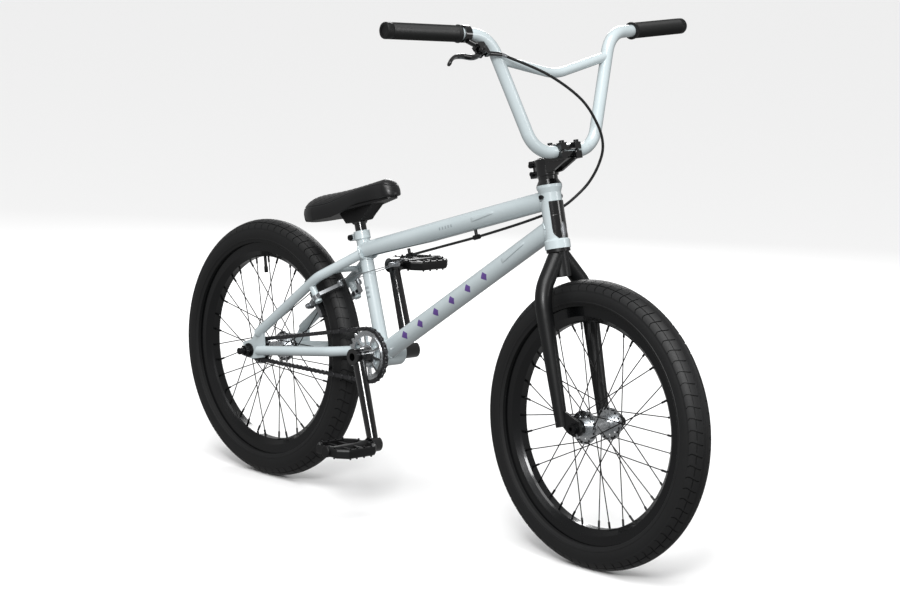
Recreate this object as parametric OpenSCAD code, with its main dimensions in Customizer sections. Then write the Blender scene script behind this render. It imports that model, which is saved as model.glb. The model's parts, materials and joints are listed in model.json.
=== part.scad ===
/* [Wheels] */
// Distance between the wheel axles
wheelbase = 898; // [880:2:980]
// Outer diameter of the tyres
tyre_d = 514; // [508:1:520]
// Width of the tyres
tyre_w = 59; // [54:1:60]
// Wall of the tyres
tyre_wall = 3; // [2:0.5:4]
// Diameter of the rims over their side walls
rim_d = 422; // [420:1:424]
// Width of the rims
rim_w = 36; // [34:1:38]
// Radial depth of the rims
rim_depth = 28; // [24:1:30]
// Spokes in each wheel
spoke_count = 36; // [36]
// Spoke diameter
spoke_d = 2; // [1.8:0.1:2.2]
// Hub flange thickness
flange_t = 3.2; // [3:0.1:4]
// Distance from the wheel's mid plane to the middle of each flange
flange_y = 31; // [30:1:33]

/* [Frame] */
// Head angle from the ground
head_angle = 75; // [74:0.5:76]
// Head tube length
head_length = 114; // [108:1:120]
// Head tube diameter in its middle
head_d = 39; // [38:1:41]
// Head tube diameter at its rings
head_ring_d = 46; // [45.5:0.5:48]
// Seat tube angle from the ground
seat_angle = 71.5; // [70.5:0.5:72]
// Seat tube diameter
seat_tube_d = 26; // [25.6:0.2:27]
// Seat tube length from the crank axis
seat_tube_length = 236; // [232:2:248]
// Top tube diameter
top_tube_d = 35; // [34:1:38]
// Height of the top tube above the crank axis, along the seat tube
top_tube_rise = 199; // [192:1:202]
// Down tube diameter
down_tube_d = 35; // [34:1:38]
// Tube wall of the frame
tube_wall = 1.5; // [1.5:0.5:2]
// Chain stay diameter
chain_stay_d = 19; // [18:1:20]
// Seat stay diameter
seat_stay_d = 19; // [18:1:20]
// Height of the crank axis above the wheel axles
bb_rise = 40; // [36:1:44]
// Width of the bottom bracket shell
bb_width = 73; // [73]
// Diameter of the bottom bracket shell
bb_d = 50; // [48:1:52]
// Distance between the rear dropouts
rear_spacing = 110; // [110]
// Dropout plate thickness
dropout_t = 5; // [4:0.5:6]

/* [Fork] */
// Distance from the crown to the front axle, along the steerer
fork_length = 318; // [314:1:324]
// Distance of the front axle ahead of the steering axis
fork_offset = 32; // [28:1:34]
// Fork leg diameter at the top
leg_d = 30; // [28:1:31]
// Fork leg diameter at the bottom
leg_tip_d = 22; // [20:1:24]
// Steerer diameter
steerer_d = 28.6; // [28.6]

/* [Cockpit] */
// Handlebar tube diameter
bar_d = 22.2; // [22.2]
// Overall width of the handlebar
bar_width = 730; // [700:2:760]
// Rise of the handlebar along its own plane
bar_rise = 208; // [200:2:216]
// Lean of the handlebar's plane from upright
bar_lean = 13; // [10:0.5:16]
// Diameter of the handlebar's crossbar
crossbar_d = 17; // [16:1:19]
// Reach of the stem from the steering axis to the bar
stem_reach = 49; // [46:1:56]
// Height of the bar above the top of the head tube
stem_rise = 52; // [50:1:54]
// Width of the stem at the bar
stem_width = 50; // [46:2:54]
// Grip diameter
grip_d = 29; // [28:1:31]
// Grip length
grip_length = 156; // [140:2:160]

/* [Drive] */
// Crank arm length
crank_length = 170; // [165:1:175]
// Turn of the right crank arm ahead of straight down
crank_turn = 24; // [0:1:40]
// Sprocket teeth
sprocket_teeth = 25; // [25]
// Driver teeth
driver_teeth = 9; // [9]
// Chain pitch
chain_pitch = 12.7; // [12.7]
// Links in the chain
chain_links = 70; // [70]
// Distance from the bike's mid plane to the chain
chain_line = 40; // [39.5:0.5:41]
// Spindle diameter
spindle_d = 22; // [19:1:24]
// Length over the crank arms
crank_width = 160; // [158:1:164]
// Pedal width along its axle
pedal_w = 98; // [92:1:102]
// Pedal length
pedal_l = 90; // [86:1:96]
// Pedal thickness
pedal_t = 17; // [15:1:19]

/* [Seat] */
// Seat post diameter
post_d = 22.2; // [22.2]
// Length of seat post that shows above its clamp
post_show = 26; // [18:1:60]
// Seat length
seat_length = 244; // [236:2:256]
// Seat width at the tail
seat_w = 126; // [116:2:136]
// Width of the seat's nose
nose_w = 44; // [40:1:48]
// Slope of the seat, nose up
seat_tilt = 16; // [8:1:18]
// Padding thickness
padding_t = 46; // [40:1:50]

/* [Hidden] */
$fn = 48;

frame_color = "#c3ced1";
black = "#1b1c1e";
silver = "#c9ccce";

running_gap = 0.05;
seat_gap = 0.3;
axle_d = 14;

// Geometry of the frame, on the bike's mid plane
wheel_r = tyre_d / 2;
rear_hub_at = [-wheelbase / 2, 0, wheel_r];
front_hub_at = [wheelbase / 2, 0, wheel_r];
steer_up = [-cos(head_angle), 0, sin(head_angle)];
steer_ahead = [sin(head_angle), 0, cos(head_angle)];
head_foot = front_hub_at - fork_offset * steer_ahead + fork_length * steer_up;
head_top = head_foot + head_length * steer_up;
seat_up = [-cos(seat_angle), 0, sin(seat_angle)];

// Chain geometry: the distance between the two chain wheels that suits a whole number of links
function pitch_r(teeth) = chain_pitch / (2 * sin(180 / teeth));
sprocket_r = pitch_r(sprocket_teeth);
driver_r = pitch_r(driver_teeth);
teeth_gap = (sprocket_teeth - driver_teeth) / 360;
stay_pitches = chain_links - (sprocket_teeth + driver_teeth) / 2;
centre_guess = stay_pitches * chain_pitch / 2;
function refined(c, n) = n == 0 ? c : let (b = asin((sprocket_r - driver_r) / c))
    refined((stay_pitches - 2 * b * teeth_gap) * chain_pitch / 2 / cos(b), n - 1);
chain_centres = refined(centre_guess, 6);
chain_tilt = asin((sprocket_r - driver_r) / chain_centres);
stay_angle = asin(bb_rise / chain_centres);
crank_at = rear_hub_at + chain_centres * [cos(stay_angle), 0, sin(stay_angle)];

function unit(v) = v / norm(v);

// ---- Placing ----
module on_steer(s = 0) {
    translate(head_top + s * steer_up) rotate([0, head_angle - 90, 0]) children();
}

module on_seat_tube(s = 0) {
    translate(crank_at + s * seat_up) rotate([0, seat_angle - 90, 0]) children();
}

module both_sides() {
    children();
    mirror([0, 1, 0]) children();
}

// A cylinder along Y whose middle is at the origin
module cross_rod(d, length) {
    rotate([90, 0, 0]) cylinder(d = d, h = length, center = true);
}

// A cylinder along Y from y1 to y2
module side_rod(d, y1, y2) {
    translate([0, (y1 + y2) / 2, 0]) cross_rod(d, abs(y2 - y1));
}

module side_ring(d_out, d_in, y1, y2) {
    difference() {
        side_rod(d_out, y1, y2);
        side_rod(d_in, min(y1, y2) - 1, max(y1, y2) + 1);
    }
}

// A flat outline in X and Z, from y1 to y2
module side_plate(outline, y1, y2) {
    translate([0, max(y1, y2), 0]) rotate([90, 0, 0])
        linear_extrude(abs(y2 - y1)) polygon(outline);
}

module rod(p, q, d1, d2) {
    v = q - p;
    translate(p) rotate([0, acos(v.z / norm(v)), atan2(v.y, v.x)])
        cylinder(d1 = d1, d2 = d2, h = norm(v));
}

// A round tube along straight stretches, with a true elbow at each inner point that the stretches run into
lap = 1;
elbow_more = 0.15;
module bent_rod(points, d, bend_r) {
    last = len(points) - 1;
    function way(i, j) = unit(points[j] - points[i]);
    function corner(i) = acos(way(i, i - 1) * way(i, i + 1));
    function trim(i) = bend_r / tan(corner(i) / 2);
    function end(i) = i == 0 || i == last ? 0 : trim(i) - lap;
    for (i = [0 : last - 1])
        rod(points[i] + end(i) * way(i, i + 1), points[i + 1] - end(i + 1) * way(i, i + 1), d, d);
    for (i = [1 : last - 1]) {
        middle = points[i] + unit(way(i, i - 1) + way(i, i + 1)) * bend_r / sin(corner(i) / 2);
        ex = unit(points[i] + trim(i) * way(i, i - 1) - middle);
        ey = way(i - 1, i);
        ez = cross(ex, ey);
        multmatrix([
            [ex.x, ey.x, ez.x, middle.x],
            [ex.y, ey.y, ez.y, middle.y],
            [ex.z, ey.z, ez.z, middle.z]
        ]) rotate_extrude(angle = 180 - corner(i)) translate([bend_r, 0]) circle(d = d + elbow_more);
    }
}

// ---- Cords: a polyhedron swept along a smoothed route ----
function along(route, u) =
    let (i = min(floor(u), len(route) - 2), t = u - i,
        a = route[max(i - 1, 0)], b = route[i], c = route[i + 1],
        e = route[min(i + 2, len(route) - 1)])
    0.5 * (2 * b + (c - a) * t + (2 * a - 5 * b + 4 * c - e) * t * t + (3 * b - a - 3 * c + e) * t * t * t);
function smooth(route, rings) =
    [for (k = [0 : rings - 1]) along(route, k * (len(route) - 1) / (rings - 1))];
function tangent(p, i) = unit(p[min(i + 1, len(p) - 1)] - p[max(i - 1, 0)]);
function carried(n, t) = unit(n - (n * t) * t);
function normals(p, start) =
    [for (i = 0, n = carried(start, tangent(p, 0)); i < len(p);
        i = i + 1, n = carried(n, tangent(p, min(i, len(p) - 1)))) n];

module cord(p, d, sides, start) {
    rings = len(p);
    n = normals(p, start);
    points = [for (i = [0 : rings - 1]) let (b = cross(tangent(p, i), n[i]))
        for (k = [0 : sides - 1])
            p[i] + d / 2 * (cos(360 * k / sides) * n[i] + sin(360 * k / sides) * b)];
    function at(i, k) = i * sides + k % sides;
    faces = concat(
        [[for (k = [0 : sides - 1]) k]],
        [[for (k = [sides - 1 : -1 : 0]) at(rings - 1, k)]],
        [for (i = [0 : rings - 2]) for (k = [0 : sides - 1]) [at(i, k), at(i + 1, k), at(i + 1, k + 1)]],
        [for (i = [0 : rings - 2]) for (k = [0 : sides - 1]) [at(i, k), at(i + 1, k + 1), at(i, k + 1)]]);
    polyhedron(points, faces);
}

// ---- Frame ----
ring_h = 14;
bearing_d = 41;
bearing_h = 8;
head_bore_d = head_d - 2 * 2.5;
top_tube_end = head_top - 25.5 * steer_up;
down_tube_end = head_foot + 40 * steer_up;
top_tube_start = crank_at + top_tube_rise * seat_up;
clamp_h = 16;

module head_tube_solid() {
    on_steer(-head_length) {
        cylinder(d = head_d, h = head_length);
        cylinder(d = head_ring_d, h = ring_h);
        translate([0, 0, ring_h]) cylinder(d1 = head_ring_d, d2 = head_d, h = 4);
        translate([0, 0, head_length - ring_h]) cylinder(d1 = head_d, d2 = head_ring_d, h = 9);
        translate([0, 0, head_length - 5]) cylinder(d = head_ring_d, h = 5);
    }
}

module head_tube() {
    color(frame_color) difference() {
        head_tube_solid();
        on_steer(-head_length - 1) cylinder(d = head_bore_d, h = head_length + 2);
        on_steer(-head_length - 1) cylinder(d = bearing_d, h = bearing_h + 1);
        on_steer(-bearing_h) cylinder(d = bearing_d, h = bearing_h + 1);
    }
}

module headset_bearings() {
    color(silver) for (s = [-head_length, -bearing_h]) on_steer(s) difference() {
        cylinder(d = bearing_d, h = bearing_h);
        translate([0, 0, -1]) cylinder(d = steerer_d + 2 * running_gap, h = bearing_h + 2);
    }
}

module top_tube() {
    color(frame_color) difference() {
        rod(top_tube_start, top_tube_end, top_tube_d, top_tube_d);
        rod(top_tube_start + [8, 0, 0], top_tube_end, top_tube_d - 2 * tube_wall, top_tube_d - 2 * tube_wall);
        head_tube_solid();
        on_seat_tube() cylinder(d = seat_tube_d, h = seat_tube_length);
    }
}

module down_tube() {
    way = unit(down_tube_end - crank_at);
    color(frame_color) difference() {
        rod(crank_at + 10 * way, down_tube_end, down_tube_d, down_tube_d);
        rod(crank_at, down_tube_end, down_tube_d - 2 * tube_wall, down_tube_d - 2 * tube_wall);
        head_tube_solid();
        on_seat_tube() cylinder(d = seat_tube_d, h = seat_tube_length);
        translate(crank_at) cross_rod(bb_d, bb_width);
        rod(top_tube_start, top_tube_end, top_tube_d, top_tube_d);
    }
}

module seat_tube() {
    color(frame_color) difference() {
        on_seat_tube() cylinder(d = seat_tube_d, h = seat_tube_length);
        on_seat_tube() cylinder(d = post_d + 2 * running_gap, h = seat_tube_length + 1);
        translate(crank_at) cross_rod(bb_d, bb_width);
    }
}

module bottom_bracket_shell() {
    color(frame_color) translate(crank_at) side_ring(bb_d, bearing_d, -bb_width / 2, bb_width / 2);
}

crank_bearing_w = 10;
module crank_bearings() {
    color(silver) translate(crank_at) both_sides()
        side_ring(bearing_d, spindle_d + 2 * running_gap, bb_width / 2 - crank_bearing_w, bb_width / 2);
}

dropout_in = rear_spacing / 2;
dropout_out = dropout_in + dropout_t;
stay_end_y = dropout_in + dropout_t / 2;
slot_w = axle_d + 0.4;
dropout_outline = [[-20, 13], [-20, slot_w / 2], [-1, slot_w / 2], [-1, -slot_w / 2], [-20, -slot_w / 2],
    [-20, -14], [10, -16], [44, -8], [44, 16], [40, 52], [26, 54], [8, 24]];
module dropouts() {
    color(frame_color) translate(rear_hub_at) both_sides() difference() {
        side_plate(dropout_outline, dropout_in, dropout_out);
        side_rod(axle_d, dropout_in - 1, dropout_out + 1);
    }
}

// Stay routes on the left side, from the rear axle
crank_from_hub = crank_at - rear_hub_at;
chain_stay_route = [[27, stay_end_y, 3], [228, 45.5, 31], crank_from_hub + [-20, 17, 5]];
seat_stay_route = [[24, stay_end_y, 38], [190, 50, 171], [276, 13, 226]];

module chain_stays() {
    color(frame_color) difference() {
        translate(rear_hub_at) both_sides() bent_rod(chain_stay_route, chain_stay_d, 70);
        translate(crank_at) cross_rod(bb_d, bb_width);
        translate(rear_hub_at) both_sides() side_plate(dropout_outline, dropout_in, dropout_out);
    }
}

module seat_stays() {
    color(frame_color) difference() {
        translate(rear_hub_at) both_sides() bent_rod(seat_stay_route, seat_stay_d, 70);
        on_seat_tube() cylinder(d = seat_tube_d, h = seat_tube_length);
        rod(top_tube_start, top_tube_end, top_tube_d, top_tube_d);
        translate(rear_hub_at) both_sides() side_plate(dropout_outline, dropout_in, dropout_out);
        translate(rear_hub_at) both_sides() bent_rod(chain_stay_route, chain_stay_d, 70);
    }
    color(frame_color) brake_posts();
}

bridge_d = 12;
bridge_route = [[203, -44, 179], [216, -22, 187], [216, 22, 187], [203, 44, 179]];
module stay_bridge() {
    color(frame_color) translate(rear_hub_at) difference() {
        bent_rod(bridge_route, bridge_d, 16);
        both_sides() bent_rod(seat_stay_route, seat_stay_d, 70);
    }
}

badge_t = 1.2;
badge_h = 50;
badge_half = 60;
module head_badge() {
    color(black) on_steer(-80) rotate([0, 0, -badge_half]) rotate_extrude(angle = 2 * badge_half)
        translate([head_d / 2, 0]) square([badge_t, badge_h]);
}

tab_bolt_s = -21;
module tab_bolts() {
    color(black) on_steer(tab_bolt_s) both_sides() {
        difference() {
            side_rod(5, head_d / 2 - 1.5, head_d / 2 + 3);
            cylinder(d = head_d, h = 20, center = true);
        }
        side_rod(8, head_d / 2 + 3, head_d / 2 + 7);
    }
}

module seat_clamp() {
    color(frame_color) on_seat_tube(seat_tube_length - clamp_h + 2) difference() {
        union() {
            cylinder(d = seat_tube_d + 5, h = clamp_h);
            translate([-27, -10, 2]) cube([16, 20, clamp_h - 4]);
        }
        translate([0, 0, -1]) cylinder(d = seat_tube_d, h = clamp_h - 1);
        translate([0, 0, -1]) cylinder(d = post_d + 2 * running_gap, h = clamp_h + 2);
        translate([-40, -1.5, -1]) cube([29, 3, clamp_h + 2]);
        translate([-21, 0, clamp_h / 2]) cross_rod(6, 40);
    }
}

module seat_clamp_bolt() {
    color(black) on_seat_tube(seat_tube_length - clamp_h / 2 + 2) translate([-21, 0, 0]) {
        side_rod(6, -10, 12);
        side_rod(11, -15, -10);
        side_rod(10, 10, 14);
    }
}

// ---- Brake ----
guide_way = unit(top_tube_end - top_tube_start);
guide_down = [guide_way.z, 0, -guide_way.x];
cable_d = 5;
cable_drop = 13;
function under_top_tube(s) =
    top_tube_start + s * guide_way + (top_tube_d / 2 + cable_drop) * guide_down;
front_guide = 312;
rear_guide = 124;
wire_d = 1.6;

module cable_guides() {
    color(black) for (s = [rear_guide, front_guide]) difference() {
        union() {
            rod(under_top_tube(s) - 7 * guide_way, under_top_tube(s) + 7 * guide_way, 9, 9);
            rod(under_top_tube(s), under_top_tube(s) - cable_drop * guide_down, 6, 6);
        }
        rod(under_top_tube(s) - (s == rear_guide ? 3 : 9) * guide_way, under_top_tube(s) + 9 * guide_way,
            cable_d + 0.8, cable_d + 0.8);
        rod(under_top_tube(s) - 9 * guide_way, under_top_tube(s) + 9 * guide_way, wire_d + 0.6, wire_d + 0.6);
        rod(top_tube_start, top_tube_end, top_tube_d, top_tube_d);
    }
}

// Lever group, on the right side of the bar
bar_up = [-sin(bar_lean), 0, cos(bar_lean)];
bar_ahead = [cos(bar_lean), 0, sin(bar_lean)];
bar_at = head_top + stem_reach * steer_ahead + stem_rise * steer_up;
bar_corner_low = 72;
bar_corner_high = 152;
bar_end_up = 14;
bar_end_back = 22;
function on_bar(y, up, ahead) = bar_at + [0, y, 0] + up * bar_up + ahead * bar_ahead;
bar_corner = on_bar(bar_corner_high, bar_rise, 0);
bar_end = on_bar(bar_width / 2, bar_rise + bar_end_up, -bar_end_back);
function on_grip_line(t) = bar_corner + t * unit(bar_end - bar_corner);
function mirrored(p) = [p.x, -p.y, p.z];
clamp_from_corner = 50;
lever_turn = 46;
lever_at = mirrored(on_grip_line(clamp_from_corner));
lever_way = mirrored(unit(bar_end - bar_corner));
function lever_point(p) = lever_at + [p.x * cos(lever_turn) + p.z * sin(lever_turn), p.y,
    p.z * cos(lever_turn) - p.x * sin(lever_turn)];
lever_pivot = [36, 20, -4];
adjuster_from = lever_pivot + [4, 12, 0];
adjuster_to = lever_pivot + [9, 40, 2];

// The cable's route, from the adjuster to the stop under the top tube
cable_route = [
    lever_point(adjuster_to + [0.2, 1, 0]),
    [346, -58, 867],
    [363, 11, 824],
    [371, 48, 779],
    [371, 65, 741],
    [363, 66, 707],
    [346, 59, 671],
    [326, 42, 641],
    [306, 29, 622],
    [276, 14, 606],
    [220, 3, 583],
    under_top_tube(front_guide),
    under_top_tube((front_guide + rear_guide) / 2),
    under_top_tube(rear_guide)
];
cable_rings = 78;

module brake_cable() {
    color(black) cord(smooth(cable_route, cable_rings), cable_d, 10, [0, 0, 1]);
}

stay_way = unit(seat_stay_route[1] - seat_stay_route[0]);
brake_up = unit([stay_way.x, 0, stay_way.z]);
brake_out = [brake_up.z, 0, -brake_up.x];
post_y = 50;
post_at = rear_hub_at + [171, 0, 156];
arm_drop = 32;
arm_t = 9;
arm_base = post_at + arm_drop * brake_out;
arm_reach = 47;
arm_end_y = 23;
pad_drop = 31;
yoke_at = [-95, 0, 471];
yoke_y = 8;
brake_ahead = unit(under_top_tube(rear_guide) - yoke_at);

// Local frame of the brake: X up along the stays, Y left, Z back to the stays
module on_brake() {
    multmatrix([
        [brake_up.x, 0, -brake_out.x, arm_base.x],
        [0, 1, 0, arm_base.y],
        [brake_up.z, 0, -brake_out.z, arm_base.z]
    ]) children();
}

pad_y = rim_w / 2 + 2.5;
pad_t = 11;
arm_top = arm_t / 2;
module brake_arm() {
    color(silver) on_brake() difference() {
        union() {
            translate([0, post_y, -arm_top]) cylinder(d = 17, h = arm_t);
            translate([0, 0, -arm_top + 1]) linear_extrude(arm_t - 2)
                polygon([[-4, post_y + 7], [-6, post_y - 6], [14, post_y - 6], [arm_reach - 4, arm_end_y - 5],
                    [arm_reach + 6, arm_end_y + 3], [arm_reach - 4, arm_end_y + 6], [16, post_y + 5]]);
            translate([0, 0, -arm_top + 1]) linear_extrude(arm_t - 2)
                polygon([[-pad_drop - 5, post_y - 8], [-pad_drop - 5, post_y - 1], [-4, post_y + 8],
                    [4, post_y], [-2, post_y - 8]]);
            translate([-pad_drop, post_y - 4, 0]) cross_rod(12, 11);
            translate([arm_reach, arm_end_y, -arm_top]) cylinder(d = 10, h = arm_t + 2);
        }
        translate([0, post_y, -20]) cylinder(d = 10 + 2 * running_gap, h = 60);
        translate([-pad_drop, post_y, 0]) cross_rod(6, 100);
    }
    color(black) on_brake() translate([-pad_drop, 0, 0]) {
        side_rod(6, pad_y + pad_t, post_y + 7);
        side_rod(10, post_y + 1.5, post_y + 5);
        translate([-4.5, pad_y, -26]) cube([9, pad_t, 52]);
    }
}

module left_brake_arm() {
    brake_arm();
}

module right_brake_arm() {
    mirror([0, 1, 0]) brake_arm();
}

// Posts brazed to the seat stays, and the bolt head that holds each arm
module brake_posts() {
    on_brake() both_sides() translate([0, post_y, 0]) {
        translate([0, 0, arm_top + 0.4]) cylinder(d = 14, h = arm_drop - arm_top);
        translate([0, 0, -arm_top - 1]) cylinder(d = 10, h = arm_drop + arm_t);
        translate([0, 0, -arm_top - 5]) cylinder(d = 14, h = 4.6);
    }
}

module brake_yoke() {
    color(silver) translate(yoke_at) {
        cross_rod(9, 2 * yoke_y + 6);
        rod([0, 0, 0], 12 * brake_ahead, 7, 7);
    }
}

module straddle_cable() {
    color(silver) {
        both_sides() rod(arm_base + arm_reach * brake_up + [0, arm_end_y, 0] - (arm_top + 4.7) * brake_out,
            yoke_at + [0, yoke_y, 0] - 5 * brake_ahead, wire_d, wire_d);
        rod(yoke_at + 12.3 * brake_ahead, under_top_tube(rear_guide) - 7 * guide_way, wire_d, wire_d);
    }
}

module on_lever() {
    translate(lever_at) rotate([0, lever_turn, 0]) children();
}

lever_w = 7;
lever_pin_d = 5;
module lever_clamp() {
    color(black) difference() {
        union() {
            rod(lever_at - 6.5 * lever_way, lever_at + 6.5 * lever_way, bar_d + 8, bar_d + 8);
            on_lever() {
                rod([14, -2, 0], lever_pivot + [-12, 0, 0], 11, 11);
                translate(lever_pivot + [-15, -7, -9]) cube([7, 16, 18]);
                translate(lever_pivot + [0, 0, 4]) cylinder(d = 15, h = 5);
                translate(lever_pivot + [0, 0, -9]) cylinder(d = 15, h = 5);
                translate(lever_pivot + [-9, -6, 4]) cube([9, 13, 5]);
                translate(lever_pivot + [-9, -6, -9]) cube([9, 13, 5]);
                translate(lever_pivot + [-10, 7, -5]) cube([18, 8, 10]);
                rod(adjuster_from, adjuster_to, 9, 8);
            }
        }
        rod(lever_at - 9 * lever_way, lever_at + 9 * lever_way, bar_d, bar_d);
        on_lever() translate(lever_pivot) {
            translate([0, 0, -20]) cylinder(d = lever_pin_d + 2 * running_gap, h = 40);
            translate([0, 0, -4]) cylinder(d = 13.5, h = 8);
        }
    }
}

module brake_lever() {
    color(black) on_lever() translate(lever_pivot) {
        translate([0, 0, -12]) cylinder(d = lever_pin_d, h = 24);
        translate([0, 0, -lever_w / 2]) cylinder(d = 12, h = lever_w);
        translate([0, 0, -lever_w / 2]) linear_extrude(lever_w)
            polygon([[1, 5], [6, 2], [14, -10], [16, -26], [13, -48], [13, -68], [19, -80], [28, -88], [25, -93],
                [14, -88], [6, -74], [5, -50], [8, -28], [2, -14], [-4, -8], [-5, -2]]);
    }
}

// ---- Fork, headset and stem ----
crown_d = 34;
crown_h = 50;
race_h = 5;
race_d = 43;
race_gap = 0.5;
cover_h = 9;
stem_foot = 15.5;
stem_h = 31;
steerer_top = stem_foot + stem_h - 2;

module fork_steerer() {
    color(black) on_steer(-head_length) difference() {
        union() {
            translate([0, 0, -crown_h]) cylinder(d = crown_d, h = crown_h - race_h);
            translate([0, 0, -race_h - 1]) cylinder(d = race_d, h = race_h + 1 - race_gap);
            translate([0, 0, -race_h]) cylinder(d = steerer_d, h = race_h + head_length + steerer_top);
        }
        translate([0, 0, -crown_h - 1]) cylinder(d = steerer_d - 6, h = crown_h + head_length + steerer_top - 30);
        translate([0, 0, head_length]) cylinder(d = 8, h = steerer_top + 1);
    }
}

leg_y = 53;
leg_foot = -312;
leg_shoulder = [0, 57, -76];
leg_way = unit([0, leg_y, leg_foot] - leg_shoulder);
leg_route = [[0, 6, -12], leg_shoulder, leg_shoulder + 44 * leg_way];
front_in = 50;
front_out = 56;
leg_dropout = [[4, leg_foot + 30], [16, leg_foot + 24], [fork_offset + 13, -fork_length + 10],
    [fork_offset + 13, -fork_length - 6], [fork_offset + 5.2, -fork_length - 14],
    [fork_offset + 5.2, -fork_length], [fork_offset - 5.2, -fork_length],
    [fork_offset - 5.2, -fork_length - 14], [14, -fork_length - 6], [4, leg_foot]];

module fork_legs() {
    color(black) on_steer(-head_length) difference() {
        both_sides() {
            bent_rod(leg_route, leg_d, 80);
            rod(leg_route[2] - lap * leg_way, [0, leg_y, leg_foot], leg_d + elbow_more, leg_tip_d);
            side_plate(leg_dropout, front_in, front_out);
        }
        translate([0, 0, -crown_h]) cylinder(d = crown_d, h = crown_h + 10);
        both_sides() translate([fork_offset, 0, -fork_length]) side_rod(10.4, front_in - 1, front_out + 1);
        translate([0, 0, -race_h - 1]) cylinder(d = race_d, h = 30);
    }
}

module headset_cover() {
    color(black) on_steer(race_gap) difference() {
        cylinder(d1 = head_ring_d - 1, d2 = 35, h = cover_h);
        translate([0, 0, -1]) cylinder(d = steerer_d, h = cover_h + 2);
    }
}

module stem_spacer() {
    color(black) on_steer(race_gap + cover_h) difference() {
        cylinder(d = 35, h = stem_foot - race_gap - cover_h);
        translate([0, 0, -1]) cylinder(d = steerer_d, h = stem_foot);
    }
}

cap_gap = 1.5;
clamp_half = 19;
module bar_clamp_block(z1, z2) {
    translate([stem_reach - clamp_half, -stem_width / 2, z1]) cube([2 * clamp_half, stem_width, z2 - z1]);
}

cap_bolts = [for (x = [-14.5, 14.5]) for (y = [-stem_width / 2 + 7, stem_width / 2 - 7]) [stem_reach + x, y, 0]];
cap_top = stem_rise + 14;
pinch_at = [for (z = [stem_foot + 8, stem_foot + stem_h - 8]) [-24, 0, z]];

module stem_body() {
    color(black) difference() {
        on_steer() union() {
            translate([0, 0, stem_foot]) cylinder(d = 40, h = stem_h);
            translate([-31, -13, stem_foot]) cube([18, 26, stem_h]);
            translate([0, -15, 0]) rotate([90, 0, 0]) mirror([0, 0, 1]) linear_extrude(30)
                polygon([[8, stem_foot + 3], [26, stem_foot + 5], [stem_reach + clamp_half, stem_rise - 14],
                    [stem_reach + clamp_half, stem_rise - 2], [stem_reach - clamp_half, stem_rise - 2],
                    [22, stem_foot + stem_h]]);
            bar_clamp_block(stem_rise - 15, stem_rise - cap_gap / 2);
        }
        on_steer(-5) cylinder(d = steerer_d, h = 80);
        on_steer(steerer_top) cylinder(d = 34, h = 30);
        on_steer() translate([-40, -1.2, stem_foot - 1]) cube([30, 2.4, stem_h + 2]);
        translate(bar_at) cross_rod(bar_d, 80);
        on_steer() for (b = cap_bolts) translate(b) cylinder(d = 5, h = stem_rise + 20);
        on_steer() for (b = pinch_at) translate(b) cross_rod(5, 60);
    }
}

module stem_cap() {
    color(black) difference() {
        on_steer() bar_clamp_block(stem_rise + cap_gap / 2, cap_top);
        translate(bar_at) cross_rod(bar_d, 80);
        on_steer() for (b = cap_bolts) translate(b) cylinder(d = 5, h = 100);
        on_steer() translate([stem_reach - 8, -stem_width / 2 + 9, cap_top - 3]) cube([16, stem_width - 18, 10]);
    }
}

module stem_bolts() {
    color(black) on_steer() {
        for (b = cap_bolts) translate(b) {
            translate([0, 0, stem_rise - 12]) cylinder(d = 5, h = cap_top - stem_rise + 12);
            translate([0, 0, cap_top]) cylinder(d = 9, h = 4);
        }
        for (b = pinch_at) translate(b) {
            side_rod(5, -13, 11);
            side_rod(8.5, -17, -13);
        }
        translate([0, 0, steerer_top - 24]) cylinder(d = 8, h = 24);
        translate([0, 0, steerer_top]) cylinder(d = 28, h = 4);
    }
}

bar_route = concat(
    [mirrored(bar_end), mirrored(bar_corner), on_bar(-bar_corner_low, 0, 0)],
    [on_bar(bar_corner_low, 0, 0), bar_corner, bar_end]);
crossbar_up = 0.8 * bar_rise;
crossbar_sag = 30;
crossbar_y = bar_corner_low + (bar_corner_high - bar_corner_low) * crossbar_up / bar_rise;
crossbar_route = [on_bar(-crossbar_y, crossbar_up, 0), on_bar(0, crossbar_up - crossbar_sag, 0),
    on_bar(crossbar_y, crossbar_up, 0)];

module handlebar() {
    color(frame_color) {
        bent_rod(bar_route, bar_d, 56);
        bent_rod(crossbar_route, crossbar_d, 110);
    }
}

end_cap_t = 4;
module grips() {
    way = unit(bar_end - bar_corner);
    from = bar_end - (grip_length - end_cap_t) * way;
    color(black) both_sides() difference() {
        union() {
            rod(from, bar_end + end_cap_t * way, grip_d, grip_d);
            rod(from, from + 4 * way, grip_d + 3, grip_d + 3);
        }
        rod(from - 5 * way, bar_end, bar_d, bar_d);
    }
}

// ---- Wheels ----
rim_r = rim_d / 2;
rim_inner_r = rim_r - rim_depth;
bead_r = rim_r - 8;

module wheel_turned(profile) {
    rotate([90, 0, 0]) rotate_extrude($fn = 96) polygon(profile);
}

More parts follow.
